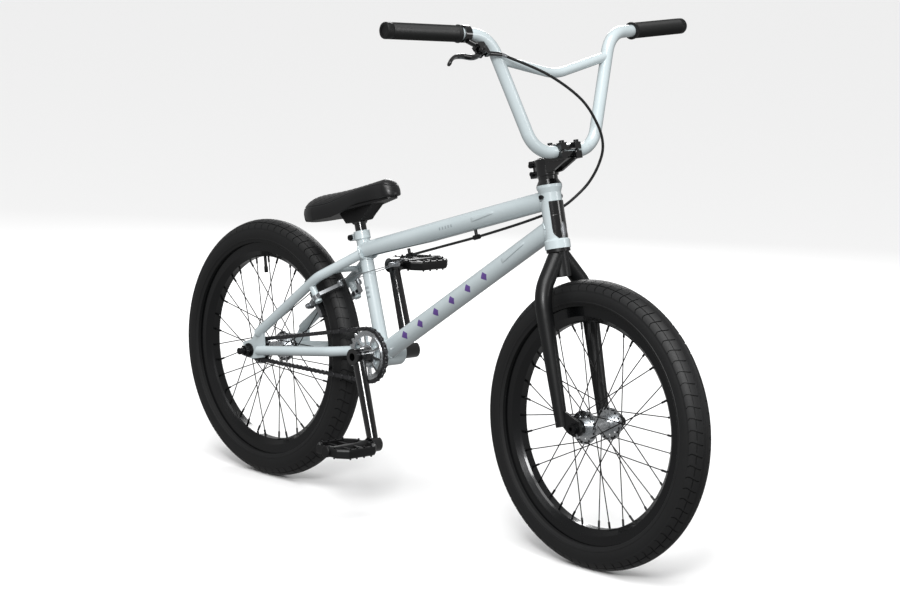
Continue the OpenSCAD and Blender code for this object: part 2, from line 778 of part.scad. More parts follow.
module tyre() {
    tube_r = tyre_w / 2;
    mid_r = wheel_r - tube_r;
    lip = rim_w / 2 - 2.5 - seat_gap;
    rim_edge = rim_r + seat_gap;
    out_y = sqrt(tube_r * tube_r - pow(mid_r - rim_edge, 2));
    in_y = sqrt(pow(tube_r - tyre_wall, 2) - pow(mid_r - rim_edge - 3, 2));
    color(black) rotate([90, 0, 0]) {
        rotate_extrude($fn = 96) union() {
            difference() {
                translate([mid_r, 0]) circle(r = tube_r, $fn = 96);
                translate([mid_r, 0]) circle(r = tube_r - tyre_wall, $fn = 96);
                translate([0, -tube_r - 1]) square([rim_edge, 2 * tube_r + 2]);
            }
            for (side = [-1, 1]) polygon([[rim_edge, side * out_y], [rim_edge, side * lip],
                [bead_r + seat_gap, side * lip], [bead_r + seat_gap, side * (lip - 4)],
                [rim_edge + 1, side * (lip - 3)], [rim_edge + 3, side * in_y], [rim_edge + 3, side * (in_y + 1.5)]]);
        }
    }
}

module rim() {
    w = rim_w / 2;
    color(black) rotate([90, 0, 0]) rotate_extrude($fn = 96) difference() {
        polygon([[rim_r, w], [rim_r, w - 2.5], [bead_r, w - 2.5], [bead_r - 1, 9], [bead_r - 4, 7],
            [bead_r - 4, -7], [bead_r - 1, -9], [bead_r, 2.5 - w], [rim_r, 2.5 - w], [rim_r, -w],
            [rim_inner_r + 11, -w], [rim_inner_r + 3, -11], [rim_inner_r, -8], [rim_inner_r, 8],
            [rim_inner_r + 3, 11], [rim_inner_r + 11, w]]);
        polygon([[bead_r - 2.5, w - 4], [bead_r - 6, 7], [bead_r - 6, -7], [bead_r - 2.5, 4 - w],
            [rim_inner_r + 11, 2.5 - w], [rim_inner_r + 4, -8], [rim_inner_r + 2.5, -7], [rim_inner_r + 2.5, 7],
            [rim_inner_r + 4, 8], [rim_inner_r + 11, w - 2.5]]);
    }
}

hole_r = 26;
spoke_cross = 60;
nipple_l = 12;
function around(a, r, y) = [r * cos(a), y, r * sin(a)];
module spokes(twist) {
    per_side = spoke_count / 4;
    step = 360 / per_side;
    color(black) for (side = [-1, 1]) for (lead = [-1, 1]) for (k = [0 : per_side - 1]) {
        a = step * k + (lead > 0 ? 0 : step / 2) + (side > 0 ? step / 4 : 0) + twist;
        out = lead * (flange_t / 2 + spoke_d / 2 + (lead > 0 ? 2.5 : 0.1));
        back = lead * (flange_t / 2 + 0.1);
        inner = around(a, hole_r, side * (flange_y + out));
        outer = around(a + lead * spoke_cross, rim_inner_r - 0.7, side * (2.6 + lead * 1.7));
        way = unit(outer - inner);
        rod(inner, outer, spoke_d, spoke_d);
        rod(outer - nipple_l * way, outer, 4, 4);
        rod(inner, around(a, hole_r, side * (flange_y - back)), spoke_d, spoke_d);
        rod(around(a, hole_r, side * (flange_y - back)), around(a, hole_r, side * (flange_y - back - lead)), 4, 4);
    }
}

hub_bearing_w = 8;
hub_bearing_d = 28;
module hub(half_w, twist) {
    color(silver) difference() {
        rotate([90, 0, 0]) union() {
            cylinder(d = 31, h = 2 * half_w, center = true);
            for (side = [-1, 1]) translate([0, 0, side * flange_y])
                cylinder(d = 2 * hole_r + 8, h = flange_t, center = true);
            for (side = [-1, 1]) translate([0, 0, side * (flange_y - 5)])
                cylinder(d = 37, h = 8, center = true);
        }
        cross_rod(hub_bearing_d - 4, 200);
        both_sides() side_rod(hub_bearing_d, half_w - hub_bearing_w, half_w + 1);
        for (side = [-1, 1]) for (k = [0 : spoke_count / 2 - 1])
            rotate([0, -20 * k - (side > 0 ? 10 : 0) - twist, 0]) translate([hole_r, side * flange_y, 0])
                cross_rod(spoke_d + 0.6, flange_t + 2);
        for (side = [-1, 1]) for (k = [0 : 8]) rotate([0, -40 * k, 0])
            translate([hole_r - 6, side * flange_y, 0]) cross_rod(4.5, flange_t + 2);
    }
}

module hub_bearings(half_w) {
    color(silver) both_sides()
        side_ring(hub_bearing_d, axle_d + 2 * running_gap, half_w - hub_bearing_w, half_w);
}

front_half = 44;
rear_half = 36;
front_twist = 4;
rear_twist = 7;

module front_tyre() {
    translate(front_hub_at) tyre();
}

module front_rim() {
    translate(front_hub_at) rim();
}

module front_spokes() {
    translate(front_hub_at) spokes(front_twist);
}

module front_hub() {
    translate(front_hub_at) hub(front_half, front_twist);
}

module front_hub_bearings() {
    translate(front_hub_at) hub_bearings(front_half);
}

module front_axle() {
    color(black) translate(front_hub_at) difference() {
        union() {
            cross_rod(axle_d, 2 * front_in);
            both_sides() side_rod(20, front_half + seat_gap, front_in);
        }
        cross_rod(8, 2 * front_in + 2);
    }
}

front_bolt_end = 66;
module front_axle_bolts() {
    color(black) translate(front_hub_at) both_sides() difference() {
        union() {
            side_rod(8, front_in - 18, front_out);
            side_rod(21, front_out, front_out + 3);
            side_rod(17, front_out + 3, front_bolt_end);
        }
        translate([0, front_bolt_end, 0]) rotate([90, 0, 0]) cylinder(d = 9.2, h = 7, $fn = 6);
    }
}

module rear_tyre() {
    translate(rear_hub_at) tyre();
}

module rear_rim() {
    translate(rear_hub_at) rim();
}

module rear_spokes() {
    translate(rear_hub_at) spokes(rear_twist);
}

module rear_hub() {
    translate(rear_hub_at) hub(rear_half, rear_twist);
}

module rear_hub_bearings() {
    translate(rear_hub_at) hub_bearings(rear_half);
}

axle_end = 86;
axle_tip_d = axle_d - 0.4;
nut_t = 3;
nut_h = 11;
module rear_axle() {
    color(black) translate(rear_hub_at) {
        cross_rod(axle_d, 2 * (dropout_out + nut_t + nut_h));
        cross_rod(axle_tip_d, 2 * axle_end);
        side_rod(20, -dropout_in, -chain_line - 6);
        side_rod(20, rear_half + seat_gap, dropout_in);
    }
}

module rear_axle_nuts() {
    color(black) translate(rear_hub_at) both_sides() difference() {
        union() {
            side_rod(28, dropout_out, dropout_out + nut_t);
            translate([0, dropout_out + nut_t, 0]) rotate([-90, 0, 0]) cylinder(d = 22, h = nut_h, $fn = 6);
        }
        side_rod(axle_d, dropout_out - 1, axle_end);
    }
}

// ---- Drive ----
// Radius of the teeth's outline at part p of a pitch, from 0 at a gap's middle to 1 at the next
tooth_steps = 12;
roller_d = 7.75;
tooth_t = 2.6;
gap_r = roller_d / 2 + 0.15;
tooth_h = 2.2;
function tooth_r(r, p) = let (x = min(p, 1 - p) * chain_pitch)
    r + (x < gap_r ? -sqrt(gap_r * gap_r - x * x) : min(tooth_h, 2 * (x - gap_r)));
function gear(teeth, r) = [for (i = [0 : teeth * tooth_steps - 1])
    let (a = 360 * i / teeth / tooth_steps, q = tooth_r(r, i % tooth_steps / tooth_steps)) [q * cos(a), q * sin(a)]];

// Angle above the line of centres at which the chain meets the sprocket and leaves the driver
meet = 90 + chain_tilt;
sprocket_wrap = (180 + 2 * chain_tilt) / 360 * sprocket_teeth;
run = sqrt(pow(chain_centres, 2) - pow(sprocket_r - driver_r, 2)) / chain_pitch;
driver_wrap = (180 - 2 * chain_tilt) / 360 * driver_teeth;

// Place of the chain's pins, counted in pitches, in a frame with X from the driver to the sprocket
function pin(s) = s < sprocket_wrap
    ? [chain_centres, 0] + sprocket_r * [cos(meet - s * 360 / sprocket_teeth), sin(meet - s * 360 / sprocket_teeth)]
    : s < sprocket_wrap + run
    ? pin_between(pin(sprocket_wrap - 0.00001), driver_r * [cos(meet), -sin(meet)], (s - sprocket_wrap) / run)
    : s < sprocket_wrap + run + driver_wrap
    ? let (a = -meet - (s - sprocket_wrap - run) * 360 / driver_teeth) driver_r * [cos(a), sin(a)]
    : pin_between(driver_r * [cos(meet), sin(meet)], [chain_centres, 0] + sprocket_r * [cos(meet), sin(meet)],
        (s - sprocket_wrap - run - driver_wrap) / run);
function pin_between(p, q, t) = p + t * (q - p);

// A closed outline beside the pins' path, at an offset from it
function loop_point(a, r) = [r * cos(a), r * sin(a)];
function loop(offset) = concat(
    [for (k = [0 : 24]) [chain_centres, 0] + loop_point(meet - k * 2 * meet / 24, sprocket_r + offset)],
    [for (k = [0 : 14]) loop_point(-meet - k * (360 - 2 * meet) / 14, driver_r + offset)]);

module on_chain() {
    translate(rear_hub_at + [0, -chain_line, 0]) rotate([0, -stay_angle, 0]) rotate([90, 0, 0]) children();
}

plate_t = 1.1;
plate_h = 8.4;
chain_inside = 3.3;
module chain() {
    color("#2b2c2e") on_chain() {
        for (side = [-1, 1]) translate([0, 0, side * (chain_inside + plate_t) / 2 - plate_t / 2])
            linear_extrude(plate_t) difference() {
                polygon(loop(plate_h / 2));
                polygon(loop(-plate_h / 2));
            }
        for (k = [0 : chain_links - 1]) translate(pin(k * (sprocket_wrap + driver_wrap + 2 * run) / chain_links))
            cylinder(d = roller_d - 0.5, h = chain_inside, center = true, $fn = 16);
    }
}

sprocket_arms = 10;
module sprocket() {
    root = sprocket_r - 9;
    color(silver) on_chain() translate([chain_centres, 0, 0]) difference() {
        union() {
            translate([0, 0, -tooth_t / 2]) linear_extrude(tooth_t)
                rotate(meet) polygon(gear(sprocket_teeth, sprocket_r));
            cylinder(r = root, h = 6, center = true);
        }
        cylinder(d = spindle_d, h = 20, center = true);
        for (k = [0 : sprocket_arms - 1]) rotate(36 * k + 6) translate([0, 0, -10]) linear_extrude(20)
            polygon([[20, -4], [root - 5, -9], [root - 4, 0], [root - 5, 9], [20, 4]]);
    }
}

driver_end = sprocket_wrap + run;
driver_phase = -meet - (ceil(driver_end) - driver_end) * 360 / driver_teeth;
module driver() {
    color(black) on_chain() difference() {
        union() {
            translate([0, 0, -tooth_t / 2]) linear_extrude(tooth_t)
                rotate(driver_phase) polygon(gear(driver_teeth, driver_r));
            translate([0, 0, rear_half + seat_gap - chain_line]) cylinder(d = 24, h = 8 - seat_gap);
        }
        translate([0, 0, -10]) cylinder(d = axle_d + 2 * running_gap, h = 30);
    }
}

crank_half = crank_width / 2;
arm_in = chain_line + 3;
arm_top_y = 65;
arm_low_y = 80;
arm_top_d = 25;
arm_low_d = 21;
boss_d = 31;
foot_d = 28;
foot_in = 69;
foot_out = 92;

module crank_spindle() {
    color(black) translate(crank_at) {
        side_ring(spindle_d, spindle_d - 7, -crank_half, crank_half);
        side_ring(28, spindle_d, bb_width / 2 + seat_gap, arm_in);
    }
}

module crank_arm() {
    color(black) difference() {
        union() {
            side_rod(boss_d, arm_in, crank_half);
            rod([0, arm_top_y, 0], [0, arm_low_y, -crank_length], arm_top_d, arm_low_d);
            translate([0, 0, -crank_length]) side_rod(foot_d, foot_in, foot_out);
        }
        side_rod(spindle_d, 0, 100);
        translate([0, 0, -crank_length]) side_rod(9, 0, 100);
    }
}

module left_crank_arm() {
    translate(crank_at) rotate([0, 180 - crank_turn, 0]) crank_arm();
}

module right_crank_arm() {
    translate(crank_at) rotate([0, -crank_turn, 0]) mirror([0, 1, 0]) crank_arm();
}

// Foot of the right arm; the left arm's is opposite
right_foot = crank_at + crank_length * [sin(crank_turn), 0, -cos(crank_turn)];
left_foot = crank_at - crank_length * [sin(crank_turn), 0, -cos(crank_turn)];
pedal_in = foot_out + 6;
module pedal_axle() {
    side_rod(9, foot_out - 18, pedal_in + pedal_w - 6);
    side_rod(14, foot_out, pedal_in - 1);
}

module pedal_axles() {
    color(silver) {
        translate(left_foot) pedal_axle();
        translate(right_foot) mirror([0, 1, 0]) pedal_axle();
    }
}

pedal_wall = 9;
window_in = 15;
module pedal() {
    half = pedal_l / 2;
    color(black) difference() {
        union() {
            side_plate([[-half, -pedal_t / 2 + 3], [-half + 4, -pedal_t / 2], [half - 4, -pedal_t / 2],
                [half, -pedal_t / 2 + 3], [half, pedal_t / 2 - 3], [half - 4, pedal_t / 2],
                [-half + 4, pedal_t / 2], [-half, pedal_t / 2 - 3]], pedal_in, pedal_in + pedal_w);
            side_rod(22, pedal_in, pedal_in + pedal_w + 4);
            for (x = [-half + 6, half - 6]) for (t = [0.08, 0.36, 0.64, 0.92])
                translate([x, pedal_in + t * pedal_w, 0]) cylinder(d = 4, h = pedal_t + 5, center = true);
            for (x = [-18, 18]) for (t = [0.05, 0.95])
                translate([x, pedal_in + t * pedal_w, 0]) cylinder(d = 4, h = pedal_t + 5, center = true);
        }
        for (side = [-1, 1]) for (t = [0, 1]) translate([side > 0 ? window_in : pedal_wall - half,
            pedal_in + pedal_wall + t * (pedal_w - pedal_wall) / 2, -pedal_t])
            cube([half - pedal_wall - window_in, (pedal_w - 3 * pedal_wall) / 2, 2 * pedal_t]);
        side_rod(9 + 2 * running_gap, pedal_in - 1, pedal_in + pedal_w - 5);
    }
}

module left_pedal() {
    translate(left_foot) pedal();
}

module right_pedal() {
    translate(right_foot) mirror([0, 1, 0]) pedal();
}

// ---- Seat ----
post_head_d = 22.2;
post_head_w = 24;
tilt_at = seat_tube_length + post_show;
post_length = 130;

module on_seat() {
    translate(crank_at + tilt_at * seat_up) rotate([0, -seat_tilt, 0]) children();
}

module seat_post() {
    color(black) difference() {
        union() {
            on_seat_tube(tilt_at - post_length) cylinder(d = post_d, h = post_length - 4);
            translate(crank_at + tilt_at * seat_up) cross_rod(post_head_d, post_head_w);
        }
        on_seat_tube(tilt_at - post_length - 1) cylinder(d = post_d - 5, h = post_length - 30);
        on_seat() translate([-8, -4.6, -3]) cube([16, 9.2, 60]);
    }
}

// Outline of the seat: a wide round tail, a narrow round nose and straight flanks
tail_r = seat_w / 2;
nose_r = nose_w / 2;
tail_x = -63;
nose_x = tail_x - tail_r + seat_length - nose_r;
function flank(x1, r1, x2, r2) = acos((r1 - r2) / (x2 - x1));
function seat_outline(inset) =
    let (a = flank(tail_x, tail_r, nose_x, nose_r), r = tail_r - inset, q = nose_r - inset)
    concat([for (k = [0 : 16]) [tail_x + r * cos(a + k * (360 - 2 * a) / 16), r * sin(a + k * (360 - 2 * a) / 16)]],
        [for (k = [0 : 8]) [nose_x + q * cos(-a + k * 2 * a / 8), q * sin(-a + k * 2 * a / 8)]]);
keel_r = post_head_d / 2 + seat_gap;
tilt_gap = 3;
base_z = keel_r + 1;
base_t = 4;
base_slope = 2.4;
skirt = 7;
keel_half_w = 16;
keel = [[-36, base_z + 4], [-22, -5], [20, -5], [30, 2], [66, base_z + 11], [66, base_z + 14],
    [-34, base_z + 14]];

// The base plate slopes a little more than the top of the seat
module on_base() {
    on_seat() translate([tail_x - tail_r, 0, base_z]) rotate([0, -base_slope, 0])
        translate([tail_r - tail_x, 0, 0]) children();
}

module base_plate() {
    on_base() linear_extrude(base_t) polygon(seat_outline(skirt));
}

module seat_base() {
    color(black) difference() {
        union() {
            base_plate();
            difference() {
                on_seat() side_plate(keel, -keel_half_w, keel_half_w);
                on_base() translate([-100, -30, base_t / 2]) cube([240, 60, 40]);
            }
        }
        on_seat() {
            cross_rod(2 * keel_r, post_head_w + 2);
            translate([-keel_r - tilt_gap, -post_head_w / 2 - 1, -40])
                cube([2 * (keel_r + tilt_gap), post_head_w + 2, 40]);
            translate([0, 0, -30]) cylinder(d = 8, h = 90);
        }
    }
}

bolt_seat_z = base_z + 10;
module seat_padding() {
    color(black) difference() {
        on_seat() translate([0, 0, base_z]) {
            linear_extrude(padding_t - 10) polygon(seat_outline(0));
            translate([0, 0, padding_t - 10]) linear_extrude(9) polygon(seat_outline(4));
            translate([0, 0, padding_t - 1]) linear_extrude(5) polygon(seat_outline(12));
        }
        base_plate();
        on_base() translate([-200, -100, -60]) cube([400, 200, 60]);
        on_seat() cylinder(d = 16, h = base_z + 18);
    }
}

module seat_bolt() {
    color(silver) on_seat() {
        translate([0, 0, 2]) cylinder(d = 8, h = bolt_seat_z - 2);
        translate([0, 0, bolt_seat_z]) cylinder(d = 14, h = 6);
    }
}

head_tube();
top_tube();
down_tube();
seat_tube();
bottom_bracket_shell();
chain_stays();
seat_stays();
stay_bridge();
dropouts();
cable_guides();
head_badge();
tab_bolts();
headset_bearings();
crank_bearings();
seat_clamp();
seat_clamp_bolt();
rear_axle();
rear_axle_nuts();
chain();
brake_cable();
straddle_cable();
fork_steerer();
fork_legs();
headset_cover();
stem_spacer();
stem_body();
stem_cap();
stem_bolts();
handlebar();
grips();
lever_clamp();
front_axle();
front_axle_bolts();
front_tyre();
front_rim();
front_spokes();
front_hub();
front_hub_bearings();
rear_tyre();
rear_rim();
rear_spokes();
rear_hub();
rear_hub_bearings();
driver();
crank_spindle();
right_crank_arm();
left_crank_arm();
sprocket();
pedal_axles();
right_pedal();
left_pedal();
seat_post();
seat_base();
seat_padding();
seat_bolt();
brake_lever();
right_brake_arm();
left_brake_arm();
brake_yoke();
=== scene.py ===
"""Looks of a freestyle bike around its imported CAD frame.

Tyres, chain, grips, lever, cable, stem, pedals, seat cover, weld beads, marks and finishes.
"""
import json
import logging
import math
from dataclasses import dataclass, field
from enum import Enum
from typing import Any, Sequence

import bmesh
import bpy
import numpy as np
from mathutils import Matrix, Vector

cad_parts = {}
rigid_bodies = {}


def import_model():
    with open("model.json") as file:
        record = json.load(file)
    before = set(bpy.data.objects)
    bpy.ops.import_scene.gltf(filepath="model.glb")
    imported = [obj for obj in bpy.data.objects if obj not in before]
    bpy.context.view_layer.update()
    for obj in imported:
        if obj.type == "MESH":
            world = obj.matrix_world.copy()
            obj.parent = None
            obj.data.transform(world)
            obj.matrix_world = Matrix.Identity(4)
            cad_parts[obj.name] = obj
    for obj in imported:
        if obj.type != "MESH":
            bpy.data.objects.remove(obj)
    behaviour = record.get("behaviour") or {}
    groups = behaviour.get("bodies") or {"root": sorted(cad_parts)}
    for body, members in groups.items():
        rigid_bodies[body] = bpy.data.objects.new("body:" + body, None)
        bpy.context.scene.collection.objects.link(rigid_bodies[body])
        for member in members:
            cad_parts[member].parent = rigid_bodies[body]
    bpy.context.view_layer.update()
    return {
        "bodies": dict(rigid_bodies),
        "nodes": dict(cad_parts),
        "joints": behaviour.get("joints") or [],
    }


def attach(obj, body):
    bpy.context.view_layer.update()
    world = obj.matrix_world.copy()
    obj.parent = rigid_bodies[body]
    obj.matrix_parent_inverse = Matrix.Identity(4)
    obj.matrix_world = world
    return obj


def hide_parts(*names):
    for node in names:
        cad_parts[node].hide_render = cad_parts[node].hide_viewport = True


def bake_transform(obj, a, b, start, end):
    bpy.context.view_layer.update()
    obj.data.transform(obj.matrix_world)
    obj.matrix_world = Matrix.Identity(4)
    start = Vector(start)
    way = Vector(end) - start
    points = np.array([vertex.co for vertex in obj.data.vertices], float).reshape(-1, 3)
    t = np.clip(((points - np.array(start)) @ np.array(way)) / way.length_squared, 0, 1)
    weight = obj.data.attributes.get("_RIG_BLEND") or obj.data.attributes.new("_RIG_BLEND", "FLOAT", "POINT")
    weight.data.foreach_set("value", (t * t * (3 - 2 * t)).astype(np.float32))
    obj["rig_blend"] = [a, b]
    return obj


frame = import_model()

Array = np.ndarray
log = logging.getLogger("bike")
MM = 0.001
TURN = 2 * math.pi


# ---- Numbers and shapes ----
def vec(*values: float) -> Array:
    """A numpy vector."""
    return np.array(values, float)


def unit(v: Array) -> Array:
    """The same directions with length 1, over the last axis."""
    return v / np.linalg.norm(v, axis=-1, keepdims=True)


def smoothstep(low: float, high: float, x: Array) -> Array:
    """0 below low, 1 above high, and 3t^2 - 2t^3 between them."""
    t = np.clip((np.asarray(x, float) - low) / (high - low), 0, 1)
    return t * t * (3 - 2 * t)


def joint_point(name: str) -> Array:
    """A hinge's point in the row frame, in millimetres."""
    return vec(*next(j for j in frame["joints"] if j["name"] == name)["pos_m"]) / MM


def joint_axis(name: str) -> Array:
    """A joint's unit axis in the row frame."""
    return unit(vec(*next(j for j in frame["joints"] if j["name"] == name)["axis"]))


def smooth_route(points: Array, count: int) -> Array:
    """A Catmull-Rom curve through points: the cubic that passes each point along the chord of its neighbours.

    Args:
        points: n points of the route.
        count: how many points to return, evenly spread over the spans.
    Returns:
        An array of count points.
    """
    u = np.linspace(0, len(points) - 1, count)
    i = np.minimum(u.astype(int), len(points) - 2)
    t = (u - i)[:, None]
    a, b = points[np.maximum(i - 1, 0)], points[i]
    c, e = points[i + 1], points[np.minimum(i + 2, len(points) - 1)]
    return 0.5 * (2 * b + (c - a) * t + (2 * a - 5 * b + 4 * c - e) * t**2 + (3 * b - a - 3 * c + e) * t**3)


def length_along(path: Array) -> Array:
    """The length from the start to each point of a path."""
    return np.concatenate([[0], np.cumsum(np.linalg.norm(np.diff(path, axis=0), axis=1))])


def tube(path: Array, half_w: Any, half_h: Any, across: Array, sides: int = 16, power: float = 1.0,
         closed: bool = False) -> Array:
    """A section carried along a path: p + a cos^k(v) w + b sin^k(v) h, with w the part of across square to the path.

    Args:
        path: n points.
        half_w: half width at each point, along across.
        half_h: half height at each point.
        across: a direction that is never along the path.
        sides: points round the section.
        power: 1 for an ellipse, below 1 for a squarer section.
        closed: whether the path's last point joins its first.
    Returns:
        A grid (n, sides, 3).
    """
    if closed:
        t = unit(np.roll(path, -1, 0) - np.roll(path, 1, 0))
    else:
        t = unit(np.gradient(path, axis=0))
    across = np.broadcast_to(across, path.shape)
    w = unit(across - (across * t).sum(1, keepdims=True) * t)
    h = np.cross(t, w)
    v = np.arange(sides) * TURN / sides
    c, s = (np.sign(f) * np.abs(f) ** power for f in (np.cos(v), np.sin(v)))
    half_w, half_h = (np.broadcast_to(np.asarray(x, float), (len(path),))[:, None, None] for x in (half_w, half_h))
    return path[:, None] + half_w * c[None, :, None] * w[:, None] + half_h * s[None, :, None] * h[:, None]


def turned(profile: Array, origin: Array, axis: Array, segments: int = 48) -> Array:
    """A profile of (radius, place along the axis) turned about an axis.

    Args:
        profile: (n, 2) radii and places.
        origin: a point on the axis.
        axis: the unit axis.
        segments: steps of the turn.
    Returns:
        A grid (n, segments, 3), wrapped over its second axis.
    """
    side = unit(np.cross(axis, vec(0.3, 0.2, 1) if abs(axis[2]) < 0.9 else vec(1, 0.2, 0.3)))
    up = np.cross(axis, side)
    a = np.arange(segments) * TURN / segments
    ring = np.cos(a)[:, None] * side + np.sin(a)[:, None] * up
    return origin + profile[:, None, :1] * ring[None] + profile[:, None, 1:] * axis


def plate(outline: Array, low: float, high: float, edge: float = 0.0) -> Array:
    """A flat plate: an outline at four heights, closed to its middle at both ends and pulled in by edge at its rims.

    Args:
        outline: (n, 2) points round the plate.
        low: lower height.
        high: upper height.
        edge: size of the rounded rim.
    Returns:
        A grid (6, n, 3), wrapped over its second axis.
    """
    middle = outline.mean(0)
    inner = outline - unit(outline - middle) * edge
    rows = [(middle + 0 * outline, low), (inner, low), (outline, low + edge), (outline, high - edge), (inner, high),
            (middle + 0 * outline, high)]
    return np.stack([np.concatenate([xy, np.full((len(xy), 1), z)], 1) for xy, z in rows])


def capped(grid: Array) -> Array:
    """The grid with its first and last rows closed to their middles."""
    ends = [np.broadcast_to(row.mean(0), row.shape)[None] for row in (grid[0], grid[-1])]
    return np.concatenate([ends[0], grid, ends[1]])


def grid_faces(rows: int, columns: int, wrap_rows: bool, wrap_columns: bool) -> Array:
    """Quads of a grid, counted row by row."""
    i = np.arange(rows if wrap_rows else rows - 1)[:, None]
    j = np.arange(columns if wrap_columns else columns - 1)[None, :]
    i2, j2 = (i + 1) % rows, (j + 1) % columns
    return np.stack(np.broadcast_arrays(i * columns + j, i * columns + j2, i2 * columns + j2, i2 * columns + j),
                    -1).reshape(-1, 4)


@dataclass
class Piece:
    """One visible piece, gathered from grids in millimetres and then made a mesh at the origin."""

    name: str
    body: str
    finish: "Finish"
    slot: str
    replaces: tuple[str, ...] = ()
    smooth_angle: float = 40.0
    points: list[Array] = field(default_factory=list)
    faces: list[Array] = field(default_factory=list)
    uvs: list[Array] = field(default_factory=list)

    def add(self, grid: Array, wrap_rows: bool = False, wrap_columns: bool = True, uv: Array | None = None) -> "Piece":
        """Adds a grid, or a stack of grids.

        Args:
            grid: (rows, columns, 3) or (k, rows, columns, 3).
            wrap_rows: whether the last row joins the first.
            wrap_columns: whether the last column joins the first.
            uv: (rows, columns, 2) places on the surface, in millimetres.
        Returns:
            The piece.
        """
        stack = grid if grid.ndim == 4 else grid[None]
        k, rows, columns = stack.shape[:3]
        start = sum(len(p) for p in self.points)
        quads = grid_faces(rows, columns, wrap_rows, wrap_columns)
        offsets = (np.arange(k) * rows * columns)[:, None, None] + start
        self.points.append(stack.reshape(-1, 3))
        self.faces.append((quads[None] + offsets).reshape(-1, 4))
        flat = np.zeros((k * rows * columns, 2)) if uv is None else np.broadcast_to(uv, (k, rows, columns, 2))
        self.uvs.append(flat.reshape(-1, 2))
        return self

    def build(self, bevel_mm: float = 0.0, subdivide: int = 0) -> bpy.types.Object:
        """Makes the object, merges its doubles, turns its faces outwards and sets it on its body.

        Args:
            bevel_mm: width of a bevel over the sharp edges, or 0.
            subdivide: levels of subdivision, or 0.
        Returns:
            The Blender object.
        """
        points, quads = np.concatenate(self.points) * MM, np.concatenate(self.faces)
        mesh = bpy.data.meshes.new(self.name)
        mesh.from_pydata(points, [], quads)
        layer = mesh.uv_layers.new(name="surface")
        corners = np.concatenate(self.uvs)[quads.reshape(-1)]
        layer.data.foreach_set("uv", (corners * MM).astype(np.float32).reshape(-1))
        work = bmesh.new()
        work.from_mesh(mesh)
        bmesh.ops.remove_doubles(work, verts=work.verts, dist=2e-6)
        bmesh.ops.dissolve_degenerate(work, edges=work.edges, dist=1e-7)
        bmesh.ops.recalc_face_normals(work, faces=work.faces)
        work.to_mesh(mesh)
        work.free()
        obj = bpy.data.objects.new(self.name, mesh)
        bpy.context.scene.collection.objects.link(obj)
        mesh.materials.append(self.finish.material())
        mesh.shade_smooth()
        mesh.set_sharp_from_angle(angle=math.radians(self.smooth_angle))
        if bevel_mm:
            bevel = obj.modifiers.new("edges", "BEVEL")
            bevel.width, bevel.segments, bevel.limit_method = bevel_mm * MM, 2, "ANGLE"
        if subdivide:
            finer = obj.modifiers.new("finer", "SUBSURF")
            finer.levels = finer.render_levels = subdivide
        if self.body:
            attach(obj, self.body)
        if self.replaces:
            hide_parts(*self.replaces)
        log.info("%s: %d points on %s", self.name, len(mesh.vertices), self.body or "two bodies")
        return obj


# ---- Finishes ----
def linear(code: str) -> tuple[float, float, float, float]:
    """An sRGB hex colour as linear red, green, blue and alpha."""
    parts = (int(code[k:k + 2], 16) / 255 for k in (1, 3, 5))
    r, g, b = (c / 12.92 if c <= 0.04045 else ((c + 0.055) / 1.055) ** 2.4 for c in parts)
    return r, g, b, 1.0


def add_node(tree: bpy.types.NodeTree, kind: str, settings: dict[str, Any], inputs: dict[Any, Any]) -> bpy.types.Node:
    """Adds a node with its settings, its socket values and its links.

    Args:
        tree: the material's node tree.
        kind: the node's type name after "ShaderNode".
        settings: the node's own properties.
        inputs: socket name or number to a value, or to an output socket that is linked to it.
    Returns:
        The node.
    """
    new = tree.nodes.new("ShaderNode" + kind)
    for key, value in settings.items():
        setattr(new, key, value)
    for key, value in inputs.items():
        if isinstance(value, bpy.types.NodeSocket):
            tree.links.new(value, new.inputs[key])
        else:
            new.inputs[key].default_value = value
    return new


class Surface(Enum):
    """How a surface was made, which sets its small relief."""

    SPRAYED = "sprayed"
    MOULDED = "moulded"
    MACHINED = "machined"
    POLISHED = "polished"
    GRAINED = "grained"
    BRAIDED = "braided"


